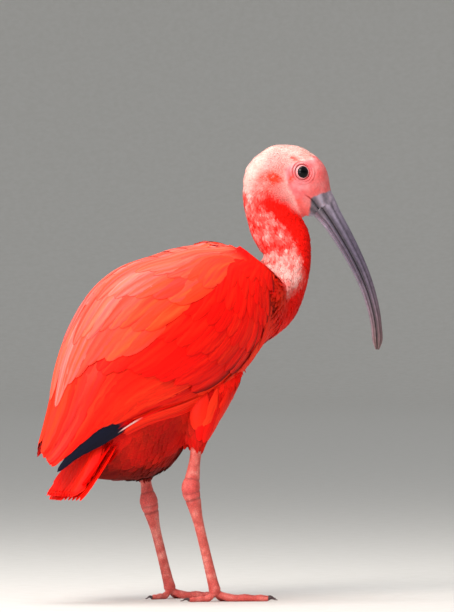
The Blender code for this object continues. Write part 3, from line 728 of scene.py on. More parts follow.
def neck_marking(where):
    """White and rose in mottles, reddest in front and at the foot of the neck."""
    z = where[:, 2]
    forward, _ = neck_coordinates(where)
    table = sorted((height, f, depth) for f, height, depth, _ in NECK_STATIONS)
    middle, depth = columns(through(table, z))
    front = (forward - middle) / depth
    red, band, band_from, band_to = columns(through(NECK_REDNESS, z))
    red = red + band * smooth_step(front, band_from, band_to)
    red = red + 0.7 * smooth_step(front, 0.1, -0.6) * smooth_step(z, 0.284, 0.268)
    red = (
        red + 0.24 * noise_at(where * (1.0, 1.0, 0.55), 0.0048, 3)
        + 0.24 * noise_at(where * (1.0, 1.0, 0.5), 0.0013, 4)
    )
    pale = mixed(BLUSH, CREAM, 0.20 + 0.35 * noise_at(where, 0.004, 5))
    colour = mixed(pale, ROSE, smooth_step(red, 0.15, 0.70))
    return mixed(colour, SCARLET, smooth_step(red, 0.50, 1.05))


def trunk_marking_and_painted_light(where):
    """Scarlet, with painted shade low down and in streaks on the breast beside the wings, and a
    painted highlight between the wings.
    """
    soft = noise_at(where, 0.016, 6)
    streak = noise_at(where * (1.0, 1.0, 0.25), 0.0035, 7)
    # Painted shade: deeper red low down at the rear of the trunk, where little light reaches.
    low = smooth_step(where[:, 2], 0.205, 0.135) * smooth_step(where[:, 0], 0.030, -0.020)
    colour = mixed(SCARLET, ORANGE_RED, 0.18 + 0.4 * soft)
    colour = mixed(colour, DEEP_RED, low * 0.75 + 0.10 * soft + 0.15 * streak)
    along, _, angle = trunk_coordinates(where)
    # Painted highlight: the back between the wings is paler pink and orange, where light from above
    # falls.
    between_wings = smooth_step(angle, 62, 34) * smooth_step(along, 0.000, 0.010)
    colour = mixed(colour, mixed(ORANGE_RED, BLUSH, 0.25 + 0.5 * streak), 0.85 * between_wings)
    # Painted shade: nearly black red low in the middle of the belly, between the thighs.
    low_middle = (
        0.9 * smooth_step(where[:, 2], 0.142, 0.117) * smooth_step(where[:, 0], -0.01, -0.03)
    )
    low_middle = low_middle * smooth_step(np.abs(where[:, 1]), 0.034, 0.020)
    # Painted shade in dark streaks between the breast feathers in front of the wings.
    stripe = (
        smooth_step(noise_at(where * (1.0, 1.0, 0.12), 0.0022, 14), 0.05, 0.55)
        * smooth_step(where[:, 0], 0.050, 0.068)
    )
    colour = mixed(colour, SHADE_RED, 0.55 * stripe * smooth_step(where[:, 2], 0.280, 0.262))
    return mixed(colour, SHADE_RED, low_middle)


def marking_and_painted_light_of(where, share):
    """Linear RGB of skin and coat, blended over the zones."""
    colour = share[:, :1] * head_marking_and_painted_light(where) + share[:, 1:2] * neck_marking(where)
    colour = colour + (share[:, 2:3] + share[:, 3:4]) * trunk_marking_and_painted_light(where)
    face = bare_face(where) * smooth_step(share[:, 0], 0.2, 0.5)
    along, up, _ = head_coordinates(where)
    bare = mixed(SALMON, LID_PINK, 0.25 + 0.5 * noise_at(where, 0.006, 8))
    bare = mixed(bare, ROSE, smooth_step(up, -0.002, -0.014) * 0.8)
    bare = mixed(bare, SCARLET, 0.75 * smooth_step(up, -0.0125, -0.0185)
        + 0.16 * noise_at(where, 0.0025, 11))
    for centre, size, strength in FACE_PATCHES:
        bare = mixed(bare, ORANGE_RED, blob(along, up, centre, size) * strength
            * (1 + 0.5 * noise_at(where, 0.0016, 13)))
    lore = smooth_step(along, 0.033, 0.046)
    bare = mixed(mixed(bare, ROSE, 0.5 * lore), DEEP_RED, 0.12 * lore)
    return mixed(colour, bare, face), face


marking_and_painted_light, face = marking_and_painted_light_of(where, share)
print("bare face:", round(float(face.mean()) * 100, 1), "% of the skin's points")

# %% Horn of the bill and of its root
HORN_RUN = ((0.0, "#a292a2"), (0.08, "#8c7f92"), (0.22, "#74687c"), (0.70, "#74606e"),
    (1.0, "#86605f"))
# Tone round each half, from the mouth line (0) to the ridge or the keel (1): the horn's own bands,
# with painted shade along the mouth line and painted highlights along the ridge and the lower edge.
HORN_UPPER = ((0.0, 0.16), (0.06, 0.42), (0.18, 1.20), (0.30, 0.50), (0.40, 0.62), (0.56, 1.00),
    (0.72, 0.85), (0.86, 1.45), (1.0, 1.75))
HORN_LOWER = ((0.0, 0.16), (0.06, 0.40), (0.20, 0.78), (0.34, 0.45), (0.48, 0.80), (0.68, 1.60),
    (1.0, 1.15))


def horn_colour(run, round_share, upper):
    """Linear RGB of the horn by the run along the bill and the way round from the mouth line."""
    base = through([(place, *linear(tone)[:3]) for place, tone in HORN_RUN], run)
    shade = np.where(upper, through(HORN_UPPER, round_share)[:, 0],
        through(HORN_LOWER, round_share)[:, 0])
    root = smooth_step(run, 0.0, 0.12)
    tinted = base * (shade * np.where(upper, 1.0, 0.52 + 0.48 * root))[:, None]
    # Where the tone is brightest it turns bluish: a painted highlight.
    bluish = smooth_step(shade, 0.95, 1.35)[:, None]
    return np.clip(tinted * (1 - 0.35 * bluish)
        + 0.35 * bluish * tinted.mean(1, keepdims=True) * (0.96, 0.97, 1.20), 0, 1)


# %% [markdown]
# ## Lids, folds and the corner of the mouth
# Round the eye the bare skin makes a thin lid that lies on the eyeball, and two shallow folds
# outside it. They could be rings of their own, but a ring never quite joins the skin. Here the
# skin's own points are moved, by their distance from the middle of the eye.

# %% Folds of the face
LID_FACING = (0.16, 0.12)
LID_INNER, LID_OUTER = 0.0050, 0.0062
GAPE_BACK = 0.0425
GAPE_LINE = ((0.030, 0.0), (0.0425, -0.0015), (0.0496, -0.0025), (0.0613, -0.0076),
    (0.070, -0.0117))
HORN_EDGE = ((-0.0200, 0.0570), (-0.0163, 0.0549), (-0.0069, 0.0504), (-0.0011, 0.0485),
    (0.0055, 0.0542), (0.0113, 0.0603), (0.0200, 0.0690))


def eye_axis(side):
    """The direction in which an eye looks."""
    return unit(head_place(*LID_FACING, side) - head_place(0, 0, 0))


normals = skin_normals()
along, up, across = head_coordinates(where)
for side in SIDES.values():
    from_eye = where - eye_centre(side)
    height = from_eye @ eye_axis(side)
    away = np.linalg.norm(from_eye - height[:, None] * eye_axis(side), axis=1)
    near = (away < 0.017) & (height > -0.004)
    fold = 0.00038 * ridge(away, 0.0078, 0.0007) - 0.00028 * ridge(away, 0.0090, 0.0006)
    fold += 0.00030 * ridge(away, 0.0103, 0.0008) - 0.00016 * ridge(away, 0.0118, 0.0008)
    natural = height + fold
    ball = np.sqrt(np.maximum(EYE_RADIUS**2 - away**2, 0))
    lid = ball + 0.00045 + 0.0003 * ridge(away, (LID_INNER + LID_OUTER) / 2, 0.0005)
    level = lid + (natural - lid) * smooth_step(away, LID_OUTER, 0.0078)
    level = np.where(away < LID_INNER, -0.001, level)
    blend = 1 - smooth_step(away, 0.0125, 0.0150)
    move = (level - height) * blend * near
    where = where + move[:, None] * eye_axis(side)
    rim = smooth_step(away, 0.0066, 0.0060) * near
    marking_and_painted_light = mixed(marking_and_painted_light, LID_PINK, rim * 0.8)
    # Painted shade in the groove of the fold behind the eye.
    marking_and_painted_light = mixed(marking_and_painted_light, DEEP_RED, 0.38 * ridge(away, 0.0092, 0.0007) * near
        * smooth_step(along, 0.032, 0.024))
mouth_line = through(GAPE_LINE, along)[:, 0]
gape = (
    ridge(up, mouth_line, 0.0006) * smooth_step(along, GAPE_BACK - 0.002, GAPE_BACK + 0.003) * face
)
crease = ridge(up, mouth_line - 0.0035, 0.0012) * smooth_step(along, 0.036, 0.044) * face
wrinkle = noise_at(np.stack((along * 0.6, up, across), 1), 0.0016, 9)
where = where - normals * (0.0009 * gape + 0.0003 * crease)[:, None]
where = where + normals * (0.00010 * wrinkle * face)[:, None]
# Painted shade in the pressed-in corner of the mouth.
marking_and_painted_light = mixed(marking_and_painted_light, DEEP_RED, 0.7 * gape)
where = where - normals * (0.0009 * smooth_step(along, 0.0560, 0.0640) * face)[:, None]
horn_edge = through(HORN_EDGE, up)[:, 0] + 0.0005 * noise_at(where, 0.004, 10)
horn = smooth_step(along - horn_edge, -0.0012, 0.0016) * face
round_horn = np.degrees(np.arctan2(np.abs(up - mouth_line)
    / np.where(up > mouth_line, 0.0170, 0.0092), np.abs(across) / 0.0090))
# The bare skin at the bill's root takes the same horn tones, painted shade and highlights included.
marking_and_painted_light = mixed(marking_and_painted_light, horn_colour(np.zeros(len(where)), round_horn / 90, up > mouth_line), horn)
print("lids stand", round((LID_OUTER - LID_INNER) * 1000, 2), "mm wide on the eyeballs")

# %% The skin lies inside the body by the coat's depth
COAT_DEPTH = {"head": 0.0006, "neck": 0.0013, "trunk": 0.0022, "thigh": 0.0016}
normals = skin_normals()
depth = sum(share[:, k] * COAT_DEPTH[zone] for k, zone in enumerate(ZONES)) * (1 - face)
foot_end = smooth_step(where[:, 2], 0.150, 0.125) * share[:, 3]
depth = depth * (1 - 0.6 * foot_end)
where = where - normals * relaxed(depth[:, None], 6)
normals = skin_normals()
lie = unit(lie - (lie * normals).sum(1, keepdims=True) * normals)


def skin_chart(where):
    """A flat place for each point of the skin: height against the way round it."""
    z = (where[:, 2] - where[:, 2].min()) / np.ptp(where[:, 2])
    along, up, side = head_coordinates(where)
    on_head = np.arctan2(side, -(up - 0.008)) / (2 * math.pi) + 0.5
    centre = np.where(z > 0.6, NECK_PIVOT_X, 0.0)
    around = np.arctan2(where[:, 1], where[:, 0] - centre + 0.02) / (2 * math.pi) + 0.5
    round_share = np.where(share[:, 0] > 0.5, on_head, around)
    rise = np.where(share[:, 0] > 0.5, (along + 0.015) / 0.085, z)
    return np.stack((0.01 + 0.98 * np.clip(round_share, 0, 1), 0.01 + 0.98 * np.clip(rise, 0, 1)),
        1)


SPACINGS = {"head": 0.00095, "neck": 0.00112, "breast": 0.0020, "back": 0.0028, "belly": 0.0025,
    "thigh": 0.0020}
REACHES = {"head": 0.0034, "neck": 0.0044, "breast": 0.0150, "back": 0.0150, "belly": 0.0180,
    "thigh": 0.0130}
trunk_along, _, trunk_angle = trunk_coordinates(where)
top_edge, low_edge = columns(through(WING_EDGES, trunk_along))
under_wing = (
    smooth_step(trunk_angle, top_edge + 6, top_edge + 16)
    * smooth_step(trunk_angle, low_edge - 14, low_edge - 24)
    * smooth_step(trunk_along, 0.030, 0.040)
    * smooth_step(trunk_along, 0.165, 0.150)
)
# Painted shadow on the trunk just below the wings' lower edge, where the wing overhangs the body.
below_edge = (
    smooth_step(trunk_angle, low_edge + 15, low_edge + 2)
    * smooth_step(trunk_angle, top_edge, top_edge + 20)
)
below_edge = (
    below_edge * smooth_step(trunk_along, 0.190, 0.170) * smooth_step(trunk_along, 0.012, 0.024)
)
marking_and_painted_light = mixed(marking_and_painted_light, SHADE_RED, (0.9 - 0.5 * smooth_step(trunk_along, 0.05, 0.09)) * below_edge
    * share[:, 2] * (1 - face))
front = smooth_step(trunk_along, 0.085, 0.045) * smooth_step(trunk_angle, 60, 95)
on_back = smooth_step(trunk_angle, 95, 75)
parts = {
    "head": share[:, 0],
    "neck": share[:, 1],
    "breast": share[:, 2] * front,
    "back": share[:, 2] * (1 - front) * on_back,
    "belly": share[:, 2] * (1 - front) * (1 - on_back),
    "thigh": share[:, 3],
}
chosen = np.argmax(np.stack(list(parts.values())), axis=0)
reach = sum(part * REACHES[name] for name, part in parts.items())
reach = (
    reach * (0.80 + 0.20 * smooth_step(where[:, 0], 0.02, -0.05) * share[:, 2]
    + 0.20 * (1 - share[:, 2]))
)
reach = relaxed(reach[:, None], 6)[:, 0]
head_along, *_ = head_coordinates(where)
reach = reach * (1 - 0.45 * share[:, 0] * smooth_step(head_along, -0.002, 0.022))
reach = reach * (1 - 0.5 * foot_end)
reach = reach * (1 - 0.6 * np.clip(2.5 * relaxed(face[:, None], 14)[:, 0], 0, 1))
reach = (
    reach * (1 - 0.65 * smooth_step(where[:, 0], 0.008, 0.020) * ridge(where[:, 2], 0.196, 0.014)
    * smooth_step(np.abs(where[:, 1]), 0.012, 0.022))
)
before_tail = smooth_step(trunk_angle, 80, 95) * smooth_step(trunk_along, 0.240, 0.232)
before_tail = np.maximum(before_tail, smooth_step(trunk_along, 0.212, 0.204))
open_skin = 1 - np.clip(face * 1.4, 0, 1)
shank_end = smooth_step(where[:, 2], 0.1055, 0.1085)

mesh = skin.data
mesh.vertices.foreach_set("co", (where + SHIFT).ravel())
mesh.update()
mesh.shade_smooth()
store_all(mesh, {"marking_and_painted_light": opaque(marking_and_painted_light), "lie": lie, "reach": reach, "bare": face})
store(mesh, "chart", np.hstack((skin_chart(where), np.zeros((len(where), 1)))))
for number, name in enumerate(parts):
    store(mesh, f"cover_{name}", (chosen == number) * open_skin * (1 - under_wing) * shank_end
        * before_tail)
print("feather reach from", (reach.min() * 1000).round(1), "to", (reach.max() * 1000).round(1),
    "mm")


# %% [markdown]
# ## What feathers and skin are made of
# A feather is keratin barbs side by side, so light catches each barb's edge: a soft gloss with
# a sheen at grazing angles and fine slanting lines. The red pigment lies inside the barbs and
# stays rich in shadow. Bare skin is moist and lets a little light through. Both read their
# colour from the shared markings.


# %% Materials of coat and skin
def feather_material(name, roughness, sheen, barb_step, line_strength, bump_strength, edge_light):
    """Keratin barbs. The Vane map is in centimetres from shaft and root; barb_step is in mm."""
    made, tree, shader = new_material(
        name, Roughness=roughness, Sheen_Weight=sheen, Sheen_Roughness=0.4,
            Sheen_Tint=linear("#ff8a68"),
        Specular_IOR_Level=0.10, IOR=1.55,
    )
    colour = add_node(tree, "ShaderNodeAttribute", attribute_name="marking_and_painted_light").outputs["Color"]
    tone = add_node(tree, "ShaderNodeAttribute", attribute_name="tone").outputs["Fac"]
    place = add_node(tree, "ShaderNodeUVMap", uv_map="Vane").outputs["UV"]
    split = add_node(tree, "ShaderNodeSeparateXYZ", {"Vector": place})
    aside = add_node(tree, "ShaderNodeMath", {0: split.outputs["X"]},
        operation="ABSOLUTE").outputs[0]
    slant = add_node(tree, "ShaderNodeMath", {0: split.outputs["Y"], 1: aside},
        operation="SUBTRACT").outputs[0]
    wander = add_node(tree, "ShaderNodeTexNoise",
        {"Vector": place, "Scale": 2.5, "Detail": 2.0}).outputs["Fac"]
    bent = add_node(tree, "ShaderNodeMath", {0: wander, 1: 0.25, 2: slant},
        operation="MULTIPLY_ADD").outputs[0]
    turns = add_node(tree, "ShaderNodeMath", {0: bent, 1: 2 * math.pi * 10 / barb_step},
        operation="MULTIPLY").outputs[0]
    barbs = add_node(tree, "ShaderNodeMath", {0: turns}, operation="SINE").outputs[0]
    shift = add_node(tree, "ShaderNodeMapRange",
        {"Value": tone, "To Min": 0.90, "To Max": 1.06}).outputs[0]
    # Long soft streaks, about 1.5 mm wide, where barbs lie a little apart or catch the light.
    drawn = add_node(tree, "ShaderNodeVectorMath", {0: place, 1: (7.0, 0.9, 1.0)},
        operation="MULTIPLY").outputs[0]
    streaks = add_node(tree, "ShaderNodeTexNoise",
        {"Vector": drawn, "Scale": 1.0, "Detail": 3.0}).outputs["Fac"]
    streaked = add_node(
        tree, "ShaderNodeMapRange", {"Value": streaks, "From Min": 0.3, "From Max": 0.7,
            "To Min": 0.84, "To Max": 1.06}
    ).outputs[0]
    shift = add_node(tree, "ShaderNodeMath", {0: shift, 1: streaked},
        operation="MULTIPLY").outputs[0]
    line = add_node(tree, "ShaderNodeMath", {0: barbs, 1: line_strength, 2: shift},
        operation="MULTIPLY_ADD").outputs[0]
    varied = add_node(tree, "ShaderNodeHueSaturation",
        {"Color": colour, "Value": line}).outputs["Color"]
    # The rims are lightened towards orange by edge_light: a painted highlight along the feathers'
    # edges.
    rim = add_node(tree, "ShaderNodeAttribute", attribute_name="edge").outputs["Fac"]
    lifted = add_node(tree, "ShaderNodeMath", {0: rim, 1: edge_light},
        operation="MULTIPLY").outputs[0]
    # A mix node's colours are its seventh and eighth inputs and its third output.
    light = {"Factor": lifted, 6: varied, 7: linear("#ff6a3c")}
    lit = add_node(tree, "ShaderNodeMix", light, data_type="RGBA").outputs[2]
    tree.links.new(lit, shader.inputs["Base Color"])
    bump = add_node(tree, "ShaderNodeBump", {"Height": barbs, "Strength": bump_strength,
        "Distance": 0.0001})
    tree.links.new(bump.outputs["Normal"], shader.inputs["Normal"])
    return made


# Real barbs stand about 0.4 mm apart; they are drawn at 0.8 to 1.3 mm, so that they show.
covert_keratin = feather_material("contour_feather_keratin", 0.65, 0.03, 0.9, 0.04, 0.15, 0.04)
satin_keratin = feather_material("wing_feather_keratin_satin", 0.55, 0.02, 1.1, 0.03, 0.20, 0.0)

bare_skin, tree, shader = new_material(
    "bare_facial_skin_living", Roughness=0.48, Specular_IOR_Level=0.4, Subsurface_Weight=0.12,
    Subsurface_Scale=0.002, Subsurface_Radius=(1.0, 0.35, 0.25),
)
# Pores and creases of living skin are a few tenths of a millimetre; they break up the gloss.
place = add_node(tree, "ShaderNodeTexCoord").outputs["Object"]
colour = add_node(tree, "ShaderNodeAttribute", attribute_name="marking_and_painted_light").outputs["Color"]
creases = add_node(tree, "ShaderNodeTexVoronoi",
    {"Vector": place, "Scale": 1100.0}).outputs["Distance"]
mottle = add_node(tree, "ShaderNodeTexNoise",
    {"Vector": place, "Scale": 420.0, "Detail": 4.0}).outputs["Fac"]
value = add_node(tree, "ShaderNodeMapRange",
    {"Value": mottle, "To Min": 0.80, "To Max": 1.18}).outputs[0]
finish_surface(tree, shader, colour, value, creases, (0.35, 0.0002))
skin.data.materials.clear()
skin.data.materials.append(bare_skin)

# %% [markdown]
# ## The coat of small feathers
# A bird this size has some thousands of contour feathers, each rooted in the skin and lying
# towards the tail over the next. Particle hair would be quick but cannot be exported, and
# placing them one by one in Python would be slow to change. A Geometry Nodes tree suits them:
# it scatters points on the skin at an even spacing, puts one small vane on each, turned to the
# skin's own lie, and makes the result real mesh.


# %% Small vanes to scatter
def small_vane(name, outline, camber, thickness, droop):
    """A closed vane one unit long: outline gives (along, half width) rows up to its tip."""
    rows = []
    for along, half in outline[:-1]:
        z = camber * math.sin(math.pi * along) - droop * along * along
        dip = thickness * (1 - 0.7 * along)
        rows.append((-half, along, z - camber * 0.6, 1))
        rows.append((0.0, along, z + dip, 0))
        rows.append((half, along, z - camber * 0.6, 1))
        rows.append((0.0, along, z - dip, 0))
    tip_along = outline[-1][0]
    rows.append((0.0, tip_along, camber * math.sin(math.pi * tip_along) - droop * tip_along**2, 1))
    tip = len(rows) - 1
    faces = []
    count = len(outline) - 1
    for k in range(count - 1):
        a, b = 4 * k, 4 * k + 4
        faces += [(a, a + 1, b + 1, b), (a + 1, a + 2, b + 2, b + 1)]
        faces += [(a + 2, a + 3, b + 3, b + 2), (a + 3, a, b, b + 3)]
    a = 4 * (count - 1)
    faces += [(a, a + 1, tip), (a + 1, a + 2, tip), (a + 2, a + 3, tip), (a + 3, a, tip)]
    faces.append((3, 2, 1, 0))
    where = np.array([r[:3] for r in rows])
    faces = turned_out(where, faces)
    local = np.stack((where[:, 0] * 0.5 + 0.5, where[:, 1]), 1)
    rim = [r[3] for r in rows]
    return new_piece(name, where - SHIFT, faces, None, {"edge": rim}, {"Vane": local}, rim)


BROAD = ((0.0, 0.10), (0.22, 0.30), (0.50, 0.44), (0.74, 0.42), (0.90, 0.25), (1.0, 0.0))
DOWNY = ((0.0, 0.16), (0.55, 0.30), (1.0, 0.0))
SOFT = ((0.0, 0.08), (0.30, 0.24), (0.62, 0.26), (0.86, 0.15), (1.0, 0.0))
vane_forms = {
    "broad": small_vane("vane_broad", BROAD, 0.018, 0.012, 0.10),
    "downy": small_vane("vane_downy", DOWNY, 0.020, 0.022, 0.05),
    "soft": small_vane("vane_soft", SOFT, 0.006, 0.004, 0.02),
}


# %% The scattering tree
PATCH = 0.003  # each feather's share of the bake map


def coat_tree():
    """A tree that lays one vane on each of many evenly spaced points of a skin."""
    tree = bpy.data.node_groups.new("lay_feathers", "GeometryNodeTree")
    sockets = {}
    for name, kind in (
        ("Geometry", "Geometry"),
        ("Vane", "Object"),
        ("Cover", "String"),
        ("Spacing", "Float"),
        ("Rise", "Float"),
        ("Rise Spread", "Float"),
        ("Fan", "Float"),
        ("Width", "Float"),
        ("Seed", "Int"),
        ("Material", "Material"),
    ):
        made = tree.interface.new_socket(name, in_out="INPUT", socket_type=f"NodeSocket{kind}")
        sockets[name] = made.identifier
    tree.interface.new_socket("Geometry", in_out="OUTPUT", socket_type="NodeSocketGeometry")
    given = add_node(tree, "NodeGroupInput").outputs

    read = {}
    for name, key, kind in (
        ("cover", given["Cover"], "FLOAT"),
        ("lie", "lie", "FLOAT_VECTOR"),
        ("reach", "reach", "FLOAT"),
        ("vane", "Vane", "FLOAT_VECTOR"),
        ("chart", "chart", "FLOAT_VECTOR"),
    ):
        node = add_node(tree, "GeometryNodeInputNamedAttribute", {"Name": key}, data_type=kind)
        read[name] = node.outputs["Attribute"]
    less = {}
    for key in ("Rise Spread", "Fan"):
        node = add_node(tree, "ShaderNodeMath", {0: given[key], 1: -1.0}, operation="MULTIPLY")
        less[key] = node.outputs[0]
    chances = []
    for number, (low, high) in enumerate((
        (less["Rise Spread"], given["Rise Spread"]),
        (less["Fan"], given["Fan"]),
        (0.82, 1.18),
        (0.85, 1.15),
        (0.0, 1.0),
    ), 1):
        shifted = {0: given["Seed"], 1: float(number)}
        seed = add_node(tree, "ShaderNodeMath", shifted, operation="ADD").outputs[0]
        # The limits are the node's third and fourth inputs, and its number the second output.
        limits = {"Seed": seed, 2: low, 3: high}
        node = add_node(tree, "FunctionNodeRandomValue", limits, data_type="FLOAT")
        chances.append(node.outputs[1])
    more_rise, fan, longer, wider, tone = chances
    area = {0: given["Spacing"], 1: given["Spacing"]}
    area = add_node(tree, "ShaderNodeMath", area, operation="MULTIPLY").outputs[0]
    dense = add_node(tree, "ShaderNodeMath", {0: 3.0, 1: area}, operation="DIVIDE").outputs[0]
    scatter = add_node(tree, "GeometryNodeDistributePointsOnFaces",
        {"Mesh": given["Geometry"], "Distance Min": given["Spacing"], "Density Max": dense,
        "Density Factor": read["cover"], "Seed": given["Seed"]}, distribute_method="POISSON")
    facing = add_node(tree, "FunctionNodeAxesToRotation",
        {"Primary Axis": scatter.outputs["Normal"], "Secondary Axis": read["lie"]},
        primary_axis="Z", secondary_axis="Y").outputs[0]
    risen = {0: given["Rise"], 1: more_rise}
    rise = add_node(tree, "ShaderNodeMath", risen, operation="ADD").outputs[0]
    lean = add_node(tree, "ShaderNodeCombineXYZ", {"X": rise, "Z": fan}).outputs[0]
    turn = add_node(tree, "FunctionNodeRotateRotation",
        {"Rotation": facing, "Rotate By": add_node(tree, "FunctionNodeEulerToRotation",
        {"Euler": lean}).outputs[0]}, rotation_space="LOCAL").outputs[0]
    sizes = []
    for first, second in ((read["reach"], longer), (given["Width"], wider)):
        node = add_node(tree, "ShaderNodeMath", {0: first, 1: second}, operation="MULTIPLY")
        sizes.append(node.outputs[0])
    length, share = sizes
    width = add_node(tree, "ShaderNodeMath", {0: length, 1: share}, operation="MULTIPLY").outputs[0]
    scale = add_node(tree, "ShaderNodeCombineXYZ",
        {"X": width, "Y": length, "Z": length}).outputs[0]
    toned = add_node(tree, "GeometryNodeStoreNamedAttribute",
        {"Geometry": scatter.outputs["Points"], "Name": "tone", "Value": tone}, data_type="FLOAT",
        domain="POINT").outputs[0]
    vane = add_node(tree, "GeometryNodeObjectInfo", {"Object": given["Vane"]}).outputs["Geometry"]
    laid = add_node(tree, "GeometryNodeInstanceOnPoints",
        {"Points": toned, "Instance": vane, "Rotation": turn, "Scale": scale}).outputs[0]
    real = add_node(tree, "GeometryNodeRealizeInstances", {"Geometry": laid}).outputs[0]
    patch = add_node(tree, "ShaderNodeVectorMath", {0: read["vane"], "Scale": PATCH},
        operation="SCALE").outputs[0]
    spot = add_node(tree, "ShaderNodeVectorMath", {0: read["chart"], 1: patch},
        operation="ADD").outputs[0]
    mapped = add_node(tree, "GeometryNodeStoreNamedAttribute",
        {"Geometry": real, "Name": "OFBake"}, data_type="FLOAT2", domain="CORNER")
    tree.links.new(spot, next(s for s in mapped.inputs if s.name == "Value" and s.enabled))
    dressed = add_node(tree, "GeometryNodeSetMaterial",
        {"Geometry": mapped.outputs[0], "Material": given["Material"]}).outputs[0]
    add_node(tree, "NodeGroupOutput", {"Geometry": dressed})
    return tree, sockets


lay_feathers, sockets = coat_tree()


# %% Pieces of coat
def coat(name, cover, vane, rise, rise_spread, fan, width, seed):
    """One piece of coat over the part of the skin that the cover attribute names."""
    carrier = bpy.data.objects.new(name, skin.data.copy())
    bpy.context.scene.collection.objects.link(carrier)
    modifier = carrier.modifiers.new("feathers", "NODES")
    modifier.node_group = lay_feathers
    for key, value in (
        ("Vane", vane_forms[vane]),
        ("Cover", f"cover_{cover}"),
        ("Spacing", SPACINGS[cover]),
        ("Rise", math.radians(rise)),
        ("Rise Spread", math.radians(rise_spread)),
        ("Fan", math.radians(fan)),
        ("Width", width),
        ("Seed", seed),
        ("Material", covert_keratin),
    ):
        modifier[sockets[key]] = value
    made = applied(carrier, name)
    kept = {"marking_and_painted_light", "tone", "edge", "OFBake", "Vane", "position", "sharp_face", "sharp_edge",
        "material_index"}
    for attribute in [a.name for a in made.data.attributes]:
        if attribute not in kept and not attribute.startswith("."):
            made.data.attributes.remove(made.data.attributes[attribute])
    scaled = np.empty(len(made.data.loops) * 2)
    vane_map = made.data.uv_layers["Vane"].data
    vane_map.foreach_get("uv", scaled)
    scaled = (scaled.reshape(-1, 2) - (0.5, 0)) * 100 * (0.5 * REACHES[cover])
    vane_map.foreach_set("uv", scaled.ravel())
    return made


# Name, cover, vane, rise, its spread and the fan in degrees, width, seed and slot.
coats = (
    ("crown_and_cheek_coat", "head", "downy", 8, 4, 14, 0.75, 11, "head_feathers"),
    ("neck_coat", "neck", "downy", 9, 5, 14, 0.70, 12, "neck_feathers"),
    ("breast_coat", "breast", "soft", 2.2, 1.4, 7, 0.60, 13, "body_feathers"),
    ("back_coat", "back", "broad", 4, 2, 8, 1.0, 14, "body_feathers"),
    ("belly_coat", "belly", "soft", 1.6, 0.8, 6, 0.85, 15, "body_feathers"),
    ("thigh_coat", "thigh", "soft", 2.2, 1.2, 6, 0.70, 16, "body_feathers"),
)
for *laid, slot in coats:
    finished(coat(*laid), slot)
for form in vane_forms.values():
    bpy.data.objects.remove(form)
finished(skin, "head_feathers", "head", "neck_upper", "neck_lower", "trunk", "thigh_right",
    "thigh_left")

# %% [markdown]
# ## Wings and tail
# A folded wing is a stack of shingles: rows of short coverts over the bend, longer ones over
# the roots of the secondaries, and under all of them the black-tipped primaries. Long soft
# scapulars close the back. Each tier is one line of a table, and each vane follows the wing's
# rounded shell, so it bends with it. A scattering tree would not keep the rows in order.

# %% Places on the wing
WING_MIRROR = {-1: np.array((1.0, 1.0, 1.0)), 1: np.array((1.0, -1.0, 1.0))}


def wing_shell(along, angle):
    """Points of the wing's outer shell and its outward direction, on the bird's right."""
    held = np.minimum(along, WING_END - 0.001)
    here = shell_point(WING_STATIONS, held, angle)
    down = shell_point(WING_STATIONS, held, angle + 0.01) - here
    back = (
        shell_point(WING_STATIONS, held + 0.001, angle)
        - shell_point(WING_STATIONS, held - 0.001, angle)
    )
    out = unit(np.cross(back, down))
    past = np.maximum(along - (WING_END - 0.001), 0)
    straight = trunk_place(past, 0 * past, 0) - trunk_place(0, 0, 0)
    return here + straight, out, np.linalg.norm(down, axis=-1) / 0.01


def wing_angle(along, share):
    """The angle at a share of the way round, from the wing's top edge to its low one."""
    top, low = columns(through(WING_EDGES, along))
    return np.radians(top + (low - top) * share)


def back_sink(along, share):
    """How much flatter the feathers lie at the top of the shoulders than the shell does."""
    return (
        0.0032 * smooth_step(along, 0.014, 0.028) * smooth_step(along, 0.090, 0.055)
        * smooth_step(share, 0.50, 0.14)
    )


# %% The feather beds under the vanes
WING_BED = (
    (0.016, 0.0042, 0.0060),
    (0.030, 0.0044, 0.0100),
    (0.060, 0.0052, 0.0110),
    (0.130, 0.0056, 0.0110),
    (0.165, 0.0058, 0.0080),
    (0.205, 0.0056, 0.0066),
)


def wing_bed(name, side, material):
    """A thin curved slab in which the feathers are rooted, so that no light shows between them."""
    along = np.linspace(WING_BED[0][0], WING_BED[-1][0], 40)[:, None]
    shares = np.linspace(0.02, 0.985, 30)[None, :]
    outer, inner = columns(through(WING_BED, along[:, 0]))
    thin = 0.3 + 0.7 * np.sin(np.pi * np.linspace(0.02, 0.98, 30)) ** 0.5
    middle, half = ((outer + inner) / 2)[:, None], ((inner - outer) / 2)[:, None] * thin
    middle = middle + back_sink(along, shares)
    place, out, _ = wing_shell(along + 0 * shares, wing_angle(along + 0 * shares, shares))
    rings = np.concatenate((place - out * (middle - half)[..., None],
        (place - out * (middle + half)[..., None])[:, ::-1]), 1)
    rings = rings * WING_MIRROR[side]
    where, faces = closed_loft(rings, rings[0].mean(0), rings[-1].mean(0))
    # The bed's deep red is painted shade: it shows dark in the gaps between the feathers.
    values = {"marking_and_painted_light": np.tile((*DEEP_RED, 1.0), (len(where), 1)),
        "tone": np.full(len(where), 0.3)}
    return new_piece(name, where, faces, material, values)


# %% One long vane
ACROSS = np.array((-1.0, -0.86, -0.58, -0.28, -0.06, 0.0, 0.06, 0.28, 0.58, 0.86, 1.0))
FEW_ACROSS = np.array((-1.0, -0.7, -0.3, 0.0, 0.3, 0.7, 1.0))
TIP_FROM = 0.62
VANE_THICKNESS = 0.00016
SHAFT_HEIGHT = 0.00016
RIPPLE_HEIGHT, RIPPLE_STEP, RIPPLE_SLANT = 0.00004, 0.0031, 0.0005


def vane_rows(count):
    """Rows from root to tip, closer together near the tip."""
    t = np.linspace(0, 1, count)
    return 1 - (1 - t) ** 1.35


